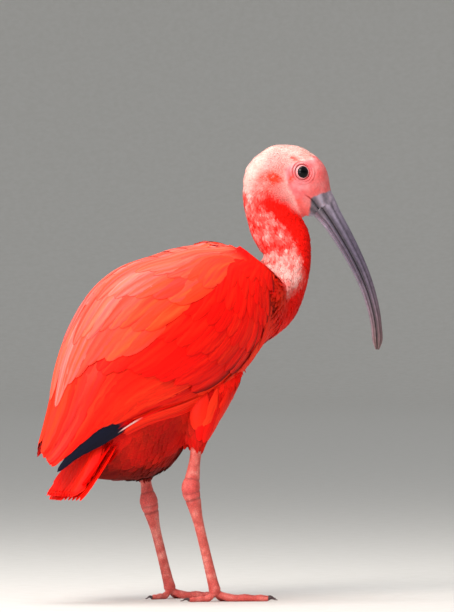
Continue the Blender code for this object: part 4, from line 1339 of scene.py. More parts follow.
def outline(t, root_width, fullness, bluntness, draw):
    """Half width along a vane, 1 at its fullest, with a few soft splits where barbs part."""
    swell = root_width + (1 - root_width) * smooth_step(t, 0.0, fullness)
    tip = np.sqrt(np.clip(1 - np.clip((t - TIP_FROM) / (1 - TIP_FROM), 0, 1) ** bluntness, 0, 1))
    both = np.stack((swell * tip, swell * tip), 0)
    for side in (0, 1):
        for _ in range(draw.integers(1, 4)):
            split = draw.uniform(0.45, 0.96)
            both[side] *= 1 - draw.uniform(0.05, 0.20) * np.exp(-(((t - split) / 0.014) ** 2))
        both[side] *= 1 + 0.02 * draw.standard_normal(len(t)) * smooth_step(t, 0.5, 0.9)
    return both


def long_vane(
    place, half_width, length, draw,
    rows=22, across=ACROSS, thickness=VANE_THICKNESS, root_width=0.35, fullness=0.45, bluntness=2.3,
):
    """A closed vane with a raised shaft. place(t, aside, lift) gives its points."""
    t = vane_rows(rows)
    widths = outline(t, root_width, fullness, bluntness, draw) * half_width
    left, right = widths[..., None]
    aside = np.where(across < 0, across * left, across * right)
    shaft = (np.abs(across) < 0.01) * SHAFT_HEIGHT * (1 - 0.8 * t[:, None])
    body = thickness * (1 - across[None, :] ** 2) ** 0.5 * (1 - 0.6 * t[:, None])
    phase = t[:, None] * length / RIPPLE_STEP - np.abs(aside) / RIPPLE_SLANT
    ripple = RIPPLE_HEIGHT * np.sin(phase + draw.uniform(0, 6))
    camber = -0.9 * aside**2 / max(half_width, 1e-6) * 0.05
    top = place(t[:, None] + 0 * aside, aside, body / 2 + shaft + ripple + camber)
    low = place(t[:, None] + 0 * aside, aside, -body / 2 + ripple + camber)
    count = len(across)
    where = np.concatenate((top.reshape(-1, 3), low[:, 1:-1].reshape(-1, 3)))
    upper = np.arange(rows * count).reshape(rows, count)
    lower = upper.copy()
    lower[:, 1:-1] = rows * count + np.arange(rows * (count - 2)).reshape(rows, count - 2)
    above = np.stack((upper[:-1, :-1], upper[:-1, 1:], upper[1:, 1:], upper[1:, :-1]), -1)
    below = np.stack((lower[:-1, :-1], lower[1:, :-1], lower[1:, 1:], lower[:-1, 1:]), -1)
    faces = [above.reshape(-1, 4), below.reshape(-1, 4)]
    for row, turn in ((0, 1), (rows - 1, -1)):
        a, b = upper[row], lower[row]
        for k in range(count - 1):
            quad = [a[k + 1], a[k], b[k], b[k + 1]][::turn]
            quad = list(dict.fromkeys(quad))
            if len(quad) > 2:
                faces.append(np.array([quad + [quad[-1]] * (4 - len(quad))]))
    grid_t = np.concatenate((np.repeat(t, count), np.repeat(t, count - 2)))
    grid_aside = np.concatenate((aside.ravel(), aside[:, 1:-1].ravel()))
    grid_share = np.concatenate((np.tile(across, rows), np.tile(across[1:-1], rows)))
    return where, np.concatenate(faces), grid_t, grid_aside, grid_share


# %% Many vanes as one piece
class VaneStack:
    """Collects vanes and makes one piece of them, each with its own cell of the bake map."""

    def __init__(self, seed):
        self.draw = np.random.default_rng(seed)
        self.parts, self.base = [], 0

    def add(self, place, half_width, length, colour, **shape):
        """colour(t, share) gives linear RGB over the vane."""
        where, faces, t, aside, share = long_vane(place, half_width, length, self.draw, **shape)
        tint = np.broadcast_to(colour(t, share), (len(where), 3))
        self.parts.append((where, faces + self.base, t, aside, share, tint, length,
            self.draw.uniform()))
        self.base += len(where)

    def piece(self, name, material):
        """All vanes as one mesh, with their colours and maps."""
        where, faces, runs, asides, shares, tints, lengths, tones = zip(*self.parts)
        t, share = np.concatenate(runs), np.concatenate(shares)
        cells = math.ceil(math.sqrt(len(where)))
        vane, bake = [], []
        for k, (run, aside, across, length) in enumerate(zip(runs, asides, shares, lengths)):
            vane.append(np.stack((aside * 100, run * length * 100), 1))
            corner = np.array((k % cells, k // cells)) + 0.06
            bake.append((corner + np.stack((across * 0.5 + 0.5, run), 1) * 0.88) / cells)
        values = {
            "marking_and_painted_light": opaque(np.concatenate(tints)),
            "tone": np.repeat(tones, [len(part) for part in where]),
            "edge": smooth_step(np.abs(share), 0.6, 1.0) * smooth_step(t, 0.3, 0.9),
        }
        maps = {"OFBake": np.concatenate(bake), "Vane": np.concatenate(vane)}
        quads = [tuple(dict.fromkeys(face)) for part in faces for face in part.tolist()]
        return new_piece(name, np.concatenate(where), quads, material, values, maps,
            np.abs(share) > 0.999)


# %% [markdown]
# ## The tiers of the wing
# Each line gives a tier's count, half width, the share of the way round the wing from its first
# to its last feather, where their roots and tips lie along the back, how deep, and its colour.

# %% Tiers
INK = linear("#0f1024")[:3]
WING_SCARLET = linear("#fd0400")[:3]
WING_ORANGE = linear("#fd3c18")[:3]
# Amber and the mantle's pale pink are painted highlights on the top of the wing; pink is partly
# that too.
WING_AMBER_HIGHLIGHT = linear("#ff6c34")[:3]
WING_PINK = linear("#f4585a")[:3]
MANTLE_PINK_HIGHLIGHT = linear("#fb8c84")[:3]
QUILL = linear("#efc6c0")[:3]
# Group, tier, count, half width, first and last share round the wing, root and tip at the low
# and at the top end, depth at root and tip, how much they stack, and how far they sweep.
TIERS = (
    ("flight", "primary", 6, 0.0056, 0.95, 0.79, (0.150, 0.238), (0.160, 0.270), 0.0052, 0.0034,
        0.0003, 0.0),
    ("flight", "secondary", 16, 0.0090, 0.95, 0.36, (0.100, 0.200), (0.124, 0.262), 0.0034, 0.0020,
        0.0001, 0.0),
    ("flight", "edge", 3, 0.0036, 1.02, 0.98, (0.112, 0.207), (0.116, 0.205), 0.0030, 0.0012,
        0.0002, 0.0),
    ("flight", "quill", 1, 0.0009, 0.935, 0.935, (0.150, 0.211), (0.150, 0.211), 0.0030, 0.0006,
        0.0, 0.0),
    ("flight", "tertial", 6, 0.0112, 0.38, 0.08, (0.122, 0.266), (0.116, 0.262), 0.0024, 0.0008,
        0.0002, 0.0),
    ("coverts", "greater", 13, 0.0100, 0.96, 0.38, (0.066, 0.128), (0.088, 0.186), 0.0024, 0.0012,
        0.0, 0.05),
    ("coverts", "median", 13, 0.0094, 0.95, 0.30, (0.042, 0.096), (0.062, 0.142), 0.0020, 0.0009,
        0.0, 0.10),
    ("coverts", "upper_median", 13, 0.0084, 0.94, 0.26, (0.028, 0.070), (0.044, 0.106), 0.0016,
        0.0006, 0.0, 0.14),
    ("coverts", "lesser", 13, 0.0074, 0.92, 0.22, (0.018, 0.050), (0.028, 0.078), 0.0013, 0.0004,
        0.0, 0.16),
    ("coverts", "small", 13, 0.0064, 0.92, 0.20, (0.012, 0.036), (0.016, 0.054), 0.0010, 0.0002,
        0.0, 0.18),
    ("coverts", "marginal", 13, 0.0054, 0.92, 0.18, (0.008, 0.024), (0.010, 0.034), 0.0007, 0.0,
        0.0, 0.18),
    ("coverts", "bend", 5, 0.0046, 0.985, 0.955, (0.074, 0.112), (0.026, 0.066), 0.0022, -0.0004,
        0.0003, 0.0),
    ("scapulars", "long", 8, 0.0104, 0.44, 0.06, (0.090, 0.166), (0.082, 0.222), 0.0016, 0.0003,
        0.0, 0.04),
    ("scapulars", "middle", 8, 0.0100, 0.42, 0.05, (0.064, 0.130), (0.056, 0.178), 0.0012, 0.0,
        0.0, 0.06),
    ("scapulars", "short", 8, 0.0094, 0.40, 0.05, (0.040, 0.096), (0.034, 0.134), 0.0008, -0.0002,
        0.0, 0.06),
    ("scapulars", "shoulder", 8, 0.0084, 0.38, 0.08, (0.022, 0.064), (0.016, 0.092), 0.0004,
        -0.0004, 0.0, 0.06),
)
SECONDARY_TIPS = ((0.36, 0.263), (0.50, 0.268), (0.58, 0.262), (0.64, 0.246), (0.70, 0.229),
    (0.76, 0.216), (0.84, 0.206), (0.90, 0.197), (0.96, 0.186))
BLACK_FROM = 0.204
TIER_TILT = 0.03
FOLD_LINE = ((0.190, 0.45), (0.227, 0.41), (0.245, 0.37), (0.263, 0.22), (0.272, 0.10))
SHOULDER_SINK = {-1: -0.0012, 1: 0.0010}
FAR_WING_SHORTER = 0.009  # the far wing is folded a little further in


# %% How one feather is coloured
def tier_colour(group, tier, draw, root=0.0, tip=1.0, place=0.0, rim=False):
    """How one feather is coloured, with painted highlights towards the top and painted shade low
    down, in folds and at vane edges; place is 0 along the back and 1 at the wing's lower edge.
    """
    height = max(1 - place * 1.6, 0.0)
    low = float(smooth_step(place, 0.60, 0.85))
    lowest = float(group == "coverts" and 0.83 < place <= 0.915)
    warm, glow, pink, _, phase = draw.uniform(0, 1, 5)

    def colour(t, share):
        along = root + (tip - root) * t
        red = WING_SCARLET
        # Painted shade along the fold where the innermost flight feathers end on the others
        fold = (
            0.85 * ridge(place + 0.15 * share, through(FOLD_LINE, along)[:, 0], 0.028)
            * smooth_step(along, 0.188, 0.206)
        )
        fold = fold * (tier in ("tertial", "secondary"))
        streak = (
            0.5 + 0.5 * np.sin(7 * share + 3 * t + 6.3 * phase)
            * np.sin(2.3 * share - 5 * t + 9 * phase)
        )
        if tier == "primary":
            return mixed(red, INK, smooth_step(along, BLACK_FROM - 0.0015, BLACK_FROM + 0.0015))
        if tier == "quill":
            shown = mixed(red, QUILL, 0.9 * smooth_step(along, 0.187, 0.195))
            return mixed(shown, INK, smooth_step(along, 0.2065, 0.2095))
        if group == "scapulars" or tier == "tertial" or (group == "coverts" and place < 0.36):
            # Painted highlight: towards the top of the wing amber streaks, pink patches and the
            # mantle's pale pink grow stronger, where light falls from above.
            paler = 0.3 * height if tier == "tertial" else height
            base = mixed(red, WING_ORANGE, (0.20 + 0.75 * warm)
                * (0.5 if tier == "tertial" else 1.0))
            base = mixed(base, WING_AMBER_HIGHLIGHT, (0.20 + 0.70 * paler) * glow * streak)
            base = mixed(base, WING_PINK, (0.15 + 0.50 * paler) * pink * (1 - streak))
            fine = (
                0.5 + 0.5 * np.sin(13 * share + 2 * t + 5 * phase)
                * np.sin(5 * share - 6 * t + 3 * phase)
            )
            base = mixed(base, MANTLE_PINK_HIGHLIGHT, smooth_step(paler, 0.45, 0.95) * (0.42 + 0.50 * pink)
                * fine)
            # Painted shade at the edges of the lower vanes, where the next feathers overlap them.
            base = mixed(base, DEEP_RED, 0.45 * (1 - paler) * smooth_step(np.abs(share), 0.80, 1.0))
            base = mixed(base, DEEP_RED, fold)
            return (
                base if group != "coverts" else mixed(red, base, smooth_step(along, 0.014, 0.026))
            )
        if tier == "bend":
            # Bend feathers: orange red with painted shade along their upper rim, where they stand
            # off the coverts.
            return mixed(mixed(red, WING_ORANGE, 0.3 + 0.5 * glow), SHADE_RED,
                0.75 * smooth_step(share, -0.5, -1.0))
        if rim:
            return mixed(red, WING_ORANGE, 0.6 + 0 * t)
        base = mixed(red, WING_ORANGE, (0.30 * warm + 0.25 * glow) * streak
            + (0.35 * warm if group == "flight" else 0))
        # Deeper red in random patches, and painted shade towards the wing's lower edge and at each
        # vane's edges.
        base = mixed(base, DEEP_RED, (0.22 + 0.40 * low) * pink * (1 - streak)
            + 0.35 * smooth_step(np.abs(share), 0.80, 1.0))
        base = mixed(base, DEEP_RED, fold)
        # Painted shadow along the low side of the lowest coverts, above the wing's edge.
        return mixed(base, SHADE_RED, 0.8 * lowest * smooth_step(share, 0.2, 0.9))

    return colour


# %% Laying the tiers
def add_tier(stack, side, tier_line):
    """Adds a tier's feathers, from its first at the low edge to its last on the back."""
    group, tier, count, half_width, first, last, low_reach, top_reach, *depths = tier_line
    root_depth, tip_depth, stacked, sweep = depths
    for k in range(count):
        step = k / max(count - 1, 1)
        jitter = stack.draw.uniform(-1, 1, 4)
        share = first + (last - first) * step + 0.012 * jitter[0]
        root = low_reach[0] + (top_reach[0] - low_reach[0]) * step
        tip = low_reach[1] + (top_reach[1] - low_reach[1]) * step
        if tier == "secondary":
            tip = float(through(SECONDARY_TIPS, share)[0])
        tip = tip + (0.0016 if group == "flight" else 0.0040) * jitter[1]
        if side > 0:
            tip = (
                tip - (FAR_WING_SHORTER if tier != "primary" else 3 * FAR_WING_SHORTER)
                * smooth_step(tip, 0.20, 0.25)
            )
        rim = group == "coverts" and tier != "bend" and share > 0.915
        depth = tip_depth + stacked * (count - 1 - k) + 0.00003 * jitter[2] + (0.0014 if rim else 0)

        def place(t, aside, lift):
            along = root + (tip - root) * t
            middle = wing_angle(along, share + sweep * (t - 0.6))
            reach = wing_shell(along, middle)[2]
            shell, out, _ = wing_shell(along, middle + aside / reach)
            under = (
                root_depth + (depth - root_depth) * smooth_step(t, 0, 0.7) - lift
                - TIER_TILT * aside
            )
            under = (
                under + SHOULDER_SINK[side] * smooth_step(along, 0.045, 0.010)
                * smooth_step(share, 0.55, 0.2)
            )
            under = under + back_sink(along, share)
            return (shell - out * under[..., None]) * WING_MIRROR[side]

        fine = half_width > 0.0065
        stack.add(
            place,
            half_width * (1 + 0.10 * jitter[3]),
            tip - root,
            tier_colour(group, tier, stack.draw, root, tip, share, rim),
            rows=24 if fine else 16,
            across=ACROSS if fine else FEW_ACROSS,
            bluntness=2.3 if group == "flight" else 1.7,
        )


for name, side in SIDES.items():
    finished(wing_bed(f"wing_bed_{name}", side, covert_keratin), "wing_feathers", f"wing_{name}")
    for number, group in enumerate(("flight", "coverts", "scapulars")):
        stack = VaneStack(40 + number * 2 + side)
        for line in TIERS:
            if line[0] == group:
                add_tier(stack, side, line)
        finished(stack.piece(f"wing_{group}_{name}", satin_keratin), "wing_feathers",
            f"wing_{name}")

# %% Mantle feathers between the wings
stack = VaneStack(61)
for row, along in enumerate(np.linspace(0.016, 0.150, 13)):
    half_span = 22 - 6 * row / 12 + (9, 7, 4, 2)[min(row, 3)] * (row < 4)
    for angle in np.linspace(-half_span, half_span, 7 if row % 2 else 6):
        length = 0.022 + 0.018 * row / 12
        start, turn = along, math.radians(float(angle) + stack.draw.uniform(-2, 2))

        def place(t, aside, lift):
            run = np.maximum(start + length * t, 0.010)
            _, _, reach = wing_shell(run, turn + 0 * run)
            shell, out, _ = wing_shell(run, turn + aside / reach)
            under = 0.0030 + (0.0009 - 0.0030) * smooth_step(t, 0, 0.7) - lift
            lowered = 0.0020 * smooth_step(run, 0.05, 0.02) + back_sink(run, 0 * run)
            return shell - out * (under + lowered)[..., None]

        # Coloured as scapulars on the top of the back, so they carry the full painted highlight.
        stack.add(place, 0.0082, length, tier_colour("scapulars", "mantle", stack.draw), rows=14,
            across=FEW_ACROSS)
finished(stack.piece("mantle_feathers", satin_keratin), "wing_feathers")

# %% Long feathers of the thighs
# Angle round the thigh in degrees, start and end along it, half width and warmth of colour.
THIGH_FEATHERS = (
    (-158, 0.16, 0.70, 0.0046, 0.0),
    (-46, 0.16, 0.84, 0.0046, 0.3),
    (-24, 0.10, 0.78, 0.0046, 0.8),
    (-4, 0.04, 0.70, 0.0046, 0.2),
    (-110, 0.30, 0.92, 0.0048, 0.0),
    (-64, 0.22, 0.92, 0.0048, 0.5),
    (-84, 0.30, 0.95, 0.0042, 0.1),
    (-97, 0.28, 0.80, 0.0040, 1.0),
    (-128, 0.26, 0.77, 0.0066, 0.5),
)


def thigh_feathers(name, side):
    """Leaf-shaped feathers that hang over the outer side of a thigh."""
    stack = VaneStack(66)
    table = by_share(THIGHS[name])
    for number, (angle, start, end, half_width, warmth) in enumerate(THIGH_FEATHERS):

        def place(t, aside, lift):
            x, y, z, half_depth, half_thick = columns(through(table, start + (end - start) * t))
            turn = math.radians(angle) + aside / np.maximum((half_depth + half_thick) / 2, 0.006)
            out = (
                0.0032 * smooth_step(t, 0, 0.35) - 0.0020 + 0.00022 * number + lift
                - 0.0012 * smooth_step(t, 0.7, 1)
            )
            return points(
                x + (half_depth + out) * np.cos(turn),
                    side * (y - (half_thick + out) * np.sin(turn)), z
            )

        def colour(t, share):
            base = mixed(SCARLET, WING_ORANGE, warmth * (0.4 + 0.6 * t))
            # Painted shade: deeper red at the root, under the feathers above it, and along the
            # edges.
            base = mixed(base, DEEP_RED, 0.5 * (1 - t) * (1 - warmth))
            return mixed(base, DEEP_RED, 0.35 * smooth_step(np.abs(share), 0.75, 1.0))

        length = (end - start) * 0.072
        stack.add(place, half_width, length, colour, rows=20, across=FEW_ACROSS, bluntness=1.9,
            thickness=0.0003)
    return stack.piece(f"thigh_feathers_{name}", satin_keratin)


for name, side in SIDES.items():
    finished(thigh_feathers(name, side), "body_feathers")

# %% The tail
TAIL_ROOT, TAIL_TIP = (0.2085, 0.0600), (0.277, 0.0535)
TAIL_ROOT_SPREAD, TAIL_TIP_SPREAD = 0.0190, 0.0285
TAIL_HALF_WIDTH = 0.0074
stack = VaneStack(71)


def tail_colour(t, share):
    """Scarlet with a little orange, deeper at the root; every vane has one colour across."""
    base = mixed(WING_SCARLET, WING_ORANGE, 0.25 * stack.draw.uniform())
    return mixed(base, DEEP_RED, 0.05 * (1 - t))


def add_tail_vane(side, step, drop, start, end, half_width, end_drop=None, curl=0.0):
    """One vane of the tail; curl bends its outer edge down, so that the tail's side is closed."""

    def place(t, aside, lift):
        along = start[0] + (end[0] - start[0]) * t
        up = (
            start[1] + (end[1] - start[1]) * t
            + (0 if end_drop is None else (drop - end_drop) * smooth_step(t, 0, 1))
        )
        spread = 0.0012 + step * (TAIL_ROOT_SPREAD + (TAIL_TIP_SPREAD - TAIL_ROOT_SPREAD) * t)
        bent = curl * (np.maximum(aside, 0) / half_width) ** 2
        return trunk_place(along, up - drop + lift + 0.06 * aside - bent, side * (spread + aside))

    stack.add(place, half_width, end[0] - start[0], tail_colour, rows=24)


for side in (-1, 1):
    for k in range(6):
        step = k / 5
        drop = 0.0006 * k + (0.0009 if side > 0 else 0)
        add_tail_vane(side, step, drop, (TAIL_ROOT[0] - 0.006, TAIL_ROOT[1]),
            (TAIL_TIP[0] - 0.003 * step, TAIL_TIP[1]), TAIL_HALF_WIDTH)
    for lift, length, count in ((0.0030, 0.040, 4), (0.0058, 0.024, 4), (-0.0048, 0.042, 4),
            (-0.0072, 0.026, 4)):
        for k in range(count):
            step = (k + 0.3) / count * 0.8
            add_tail_vane(side, step, -lift, (0.198, 0.0600), (0.204 + length, 0.0565), 0.0066)
for root_lift, tip_lift, length, count in ((0.0100, 0.0010, 0.0700, 5),
        (0.0140, 0.0019, 0.0684, 5), (0.0160, 0.0029, 0.0662, 4)):
    for side in (-1, 1):
        for k in range(count):
            step = (k + 0.2) / count * 0.9
            add_tail_vane(side, step, -root_lift, (0.200, 0.0600), (0.206 + length, 0.0560),
                0.0064, -tip_lift, 0.007 * (k == count - 1))
for side in (-1, 1):
    add_tail_vane(side, 0.92, -0.0016, (0.200, 0.0600), (0.262, 0.0560), 0.0064)
finished(stack.piece("tail_feathers", satin_keratin), "tail_feathers", "tail")

# %% [markdown]
# ## The bill
# The bill is bone under a thin horn sheath: two long halves that meet along the mouth line,
# each with a groove along its side, and slit nostrils at the root of the upper one. Its dull
# gloss comes from worn keratin. Rings of points follow its curve, and the grooves are pressed
# into the rings themselves, so that they catch the light from every side.

# %% Bill halves
BILL_LENGTH = 0.140
BILL_STATIONS = (
    (0.00, 0.0262, 0.0180),
    (0.10, 0.0205, 0.0148),
    (0.25, 0.0174, 0.0124),
    (0.45, 0.0144, 0.0106),
    (0.65, 0.0116, 0.0092),
    (0.85, 0.0093, 0.0080),
    (0.96, 0.0076, 0.0066),
    (1.00, 0.0030, 0.0028),
)
BILL_ROOT = (0.0610, 0.0001)
BILL_ROOT_DIP, BILL_DIP_SQUARE = math.radians(57), math.radians(36)
BILL_FACE_DIP = math.radians(39.8)
MOUTH_SHARE = -0.15
BILL_GAP = 0.0003


def bill_axis(shares):
    """Forward, height and dip of the bill's middle line."""
    steps = 400
    t = (np.arange(steps) + 0.5) / steps
    dips = BILL_ROOT_DIP + BILL_DIP_SQUARE * t * t
    forward = (
        HEAD_NAPE[0] + BILL_ROOT[0] * math.cos(HEAD_PITCH) - BILL_ROOT[1] * math.sin(HEAD_PITCH)
    )
    height = (
        HEAD_NAPE[1] + BILL_ROOT[0] * math.sin(HEAD_PITCH) + BILL_ROOT[1] * math.cos(HEAD_PITCH)
    )
    run = np.concatenate(([0], np.cumsum(np.cos(dips)))) * BILL_LENGTH / steps
    fall = np.concatenate(([0], np.cumsum(np.sin(dips)))) * BILL_LENGTH / steps
    places = np.linspace(0, 1, steps + 1)
    dip = BILL_ROOT_DIP + BILL_DIP_SQUARE * shares * shares
    return forward + np.interp(shares, places, run), height - np.interp(shares, places, fall), dip


def bill_half(name, upper, material):
    """One mandible as a closed loft whose flat side is the mouth."""
    rows, count = 140, 41
    shares = np.linspace(0, 1, rows)[:, None] ** 0.9
    angle = np.linspace(0, math.pi, count)[None, :]
    forward, up, dip = bill_axis(shares)
    depth, width = columns(through(BILL_STATIONS, shares[:, 0]))
    depth, width = depth[:, None], width[:, None]
    blend = np.minimum(shares / 0.15, 1.0)
    lean = dip * blend + BILL_FACE_DIP * (1 - blend)
    sign = 1 if upper else -1
    mouth = MOUTH_SHARE * depth
    height = depth / 2 - sign * mouth - BILL_GAP / 2
    degrees = np.degrees(np.minimum(angle, math.pi - angle))
    reach = 0.90 if upper else 0.70
    fade = smooth_step(shares, 0.05, 0.12) * smooth_step(shares, reach, reach - 0.2)
    groove = 0.00060 * ridge(degrees, 33, 5.5) * fade
    groove = groove + 0.00018 * ridge(degrees, 62, 7) * smooth_step(shares, 0.5, 0.1)
    groove = groove - 0.00016 * ridge(degrees, 16, 6) * fade
    if upper:
        groove = groove + 0.0013 * ridge(degrees, 36, 5.0) * ridge(shares, 0.072, 0.026)
    lines = 0.00006 * np.sin(degrees / 2.6) + 0.00005 * np.sin(degrees / 1.31 + 3 * shares)
    inset = groove + lines * smooth_step(shares, 0.0, 0.05)
    rise = mouth + sign * (BILL_GAP / 2 + (height - inset) * np.sin(angle) ** 0.8)
    side = (width / 2 - inset) * np.cos(angle)
    rings = neck_place(forward + rise * np.sin(lean), up + rise * np.cos(lean), side)
    inner = np.linspace(rings[:, -1], rings[:, 0], 8, axis=1)[:, 1:-1]
    rings = np.concatenate((rings, inner), 1)
    where, faces = closed_loft(rings, rings[0].mean(0), rings[-1].mean(0))
    full = np.concatenate((np.broadcast_to(degrees, (rows, count)), np.zeros((rows, 6))), 1)
    run = np.concatenate((np.repeat(shares[:, 0], count + 6), (0, 1)))
    round_share = np.concatenate((full.ravel(), (90, 90))) / 90
    tint = horn_colour(run, round_share, np.full(len(run), upper))
    values = {"run": run, "round": round_share, "marking_and_painted_light": opaque(tint)}
    return new_piece(name, where, faces, material, values)


# %% Bill horn
bill_horn, tree, shader = new_material("bill_horn_keratin_worn", Roughness=0.36,
    Specular_IOR_Level=0.5, IOR=1.54)
# Worn horn: grey mauve, with a painted highlight along the ridge, pinkish at the tip, with fine
# lengthwise lines.
run = add_node(tree, "ShaderNodeAttribute", attribute_name="run").outputs["Fac"]
round_share = add_node(tree, "ShaderNodeAttribute", attribute_name="round").outputs["Fac"]
place = add_node(tree, "ShaderNodeTexCoord").outputs["Object"]
tint = add_node(tree, "ShaderNodeAttribute", attribute_name="marking_and_painted_light").outputs["Color"]
stretch = add_node(tree, "ShaderNodeCombineXYZ", {"X": run, "Y": round_share}).outputs[0]
stretch = add_node(tree, "ShaderNodeVectorMath", {0: stretch, 1: (5.0, 30.0, 1.0)},
    operation="MULTIPLY").outputs[0]
grain = add_node(tree, "ShaderNodeTexNoise",
    {"Vector": stretch, "Scale": 1.0, "Detail": 5.0}).outputs["Fac"]
blotch = add_node(tree, "ShaderNodeTexNoise",
    {"Vector": place, "Scale": 240.0, "Detail": 4.0}).outputs["Fac"]
mixture = add_node(tree, "ShaderNodeMath", {0: grain, 1: blotch}, operation="MULTIPLY").outputs[0]
value = add_node(
    tree, "ShaderNodeMapRange", {"Value": mixture, "From Min": 0.12, "From Max": 0.42,
        "To Min": 0.62, "To Max": 1.22}
).outputs[0]
finish_surface(tree, shader, tint, value, grain, (0.4, 0.0002))
rough = add_node(tree, "ShaderNodeMapRange",
    {"Value": blotch, "To Min": 0.26, "To Max": 0.52}).outputs[0]
tree.links.new(rough, shader.inputs["Roughness"])

for name, upper in (("bill_upper", True), ("bill_lower", False)):
    finished(bill_half(f"{name}_horn", upper, bill_horn), "bill", name)

# %% [markdown]
# ## Eyes
# The eye looks black from a step away: a very dark brown iris round a black pupil under a clear
# wet cornea. One ball with a hard mirror-like gloss does for both, and its iris is coloured by
# the angle from the eye's own axis.

# %% Eyeballs
EYE_ROWS, EYE_SIDES = 36, 48
CORNEA_BULGE = 0.035
eye_wet, tree, shader = new_material(
    "eye_cornea_wet", Roughness=0.04, IOR=1.376, Specular_IOR_Level=0.25
)
from_axis = add_node(tree, "ShaderNodeAttribute", attribute_name="from_axis").outputs["Fac"]
PUPIL_TO_RIM = (
    (0.0, "#010103"),
    (0.40, "#020204"),
    (0.46, "#0c0709"),
    (0.62, "#100a0c"),
    (0.70, "#050406"),
    (1.0, "#2a1816"),
)
iris = add_node(tree, "ShaderNodeValToRGB", {"Fac": from_axis}, PUPIL_TO_RIM).outputs["Color"]
tree.links.new(iris, shader.inputs["Base Color"])
for name, side in SIDES.items():
    axis = eye_axis(side)
    sideways = unit(np.cross(axis, (0, 0, 1)))
    upward = np.cross(sideways, axis)
    polar = np.linspace(0.04, math.pi - 0.04, EYE_ROWS)[:, None]
    ring = np.linspace(0, 2 * math.pi, EYE_SIDES, endpoint=False)[None, :]
    bulge = EYE_RADIUS * (1 + CORNEA_BULGE * ridge(polar, 0, 0.55))
    ball = bulge[..., None] * (
        np.cos(polar)[..., None] * axis
        + (np.sin(polar) * np.cos(ring))[..., None] * sideways
        + (np.sin(polar) * np.sin(ring))[..., None] * upward
    )
    rings = eye_centre(side) + ball
    front = eye_centre(side) + axis * EYE_RADIUS * (1 + CORNEA_BULGE)
    where, faces = closed_loft(rings, front, eye_centre(side) - axis * EYE_RADIUS)
    angles = np.concatenate((np.repeat(polar[:, 0], EYE_SIDES), (0, math.pi))) / (math.pi / 2)
    finished(new_piece(f"eyeball_{name}", where, faces, eye_wet, {"from_axis": angles}), "eye",
        f"eye_{name}")

# %% [markdown]
# ## Legs and feet
# Below the thigh feathers the legs are bare: a leathery skin of small plates, with broad ones
# in front of the tarsus and over the toes, and a knobbly ankle. A tube along the leg's own path
# gives the form; plates are pressed into its rings, and the fine net of scales is bump, with
# painted shade in its creases.

# %% Tubes along a path
LEGS = {
    "right": ((-0.0235, 0.0305, 0.1345), (-0.0298, 0.0300, 0.0970), (-0.0062, 0.0300, 0.0096), 4),
    "left": ((-0.0445, 0.0285, 0.1055), (-0.0400, 0.0290, 0.0850), (-0.0150, 0.0375, 0.0096), 14),
}
TOES = (
    ("inner", 27, 0.040, 0.0031),
    ("middle", 0, 0.054, 0.0033),
    ("outer", -27, 0.046, 0.0031),
    ("hind", 172, 0.024, 0.0029),
)
CLAW_LENGTH = 0.0085
FOOT_VOXEL = 0.00045
ANKLE_RUN = 0.038
LEG_ROWS, LEG_SIDES = 150, 32
LEVEL = (0.0, 1.0, 0.0)  # across the leg


def tube(path, radii, rows, sides, flatten, plates=None, level=None):
    """A closed tube on a smooth curve; plates(run, angle) is an outward offset."""
    knots = np.concatenate(([0], np.cumsum(np.linalg.norm(np.diff(path, axis=0), axis=1))))
    table = [(k, *p, r) for k, p, r in zip(knots, path, radii)]
    run = np.linspace(0, knots[-1], rows)
    found = through(table, run)
    middle, radius = found[:, :3], found[:, 3]
    ahead = unit(np.gradient(middle, axis=0))
    side = np.cross((0.0, 0.0, 1.0), ahead)
    if level is not None:
        side = np.array(level) - (ahead @ np.array(level))[:, None] * ahead
    side = unit(side)
    up = np.cross(ahead, side)
    angle = np.linspace(0, 2 * math.pi, sides, endpoint=False)[None, :]
    reach = radius[:, None] + (plates(run[:, None], angle) if plates else 0)
    rings = (
        middle[:, None]
        + (reach * np.cos(angle))[..., None] * up[:, None]
        + (reach * flatten * np.sin(angle))[..., None] * side[:, None]
    )
    return closed_loft(rings, middle[0] - ahead[0] * radius[0] * 0.5,
        middle[-1] + ahead[-1] * radius[-1] * 0.5)


# %% Leg skin and claw horn
leg_skin, tree, shader = new_material(
    "leg_skin_scaled", Roughness=0.5, Specular_IOR_Level=0.4, Subsurface_Weight=0.08,
    Subsurface_Scale=0.0015, Subsurface_Radius=(1.0, 0.35, 0.25),
)
# Leathery skin of small plates, 1 to 2 mm wide, with painted shade in the creases between them.
place = add_node(tree, "ShaderNodeTexCoord").outputs["Object"]
cell = add_node(tree, "ShaderNodeTexVoronoi", {"Vector": place, "Scale": 620.0},
    feature="DISTANCE_TO_EDGE").outputs[0]
net = add_node(tree, "ShaderNodeMapRange", {"Value": cell, "From Max": 0.18}).outputs[0]
patchy = add_node(tree, "ShaderNodeTexNoise",
    {"Vector": place, "Scale": 150.0, "Detail": 4.0}).outputs["Fac"]
SALMONS = ((0.25, "#b84038"), (0.5, "#d25e54"), (0.72, "#e68c80"))
base = add_node(tree, "ShaderNodeValToRGB", {"Fac": patchy}, SALMONS).outputs["Color"]
joint = add_node(tree, "ShaderNodeAttribute", attribute_name="joint").outputs["Fac"]
redder = {"Factor": joint, 6: base, 7: linear("#d64442")}
reddened = add_node(tree, "ShaderNodeMix", redder, data_type="RGBA").outputs[2]
# The net darkens the plates' edges: painted shade in the creases between them.
value = add_node(tree, "ShaderNodeMapRange",
    {"Value": net, "To Min": 0.72, "To Max": 1.05}).outputs[0]
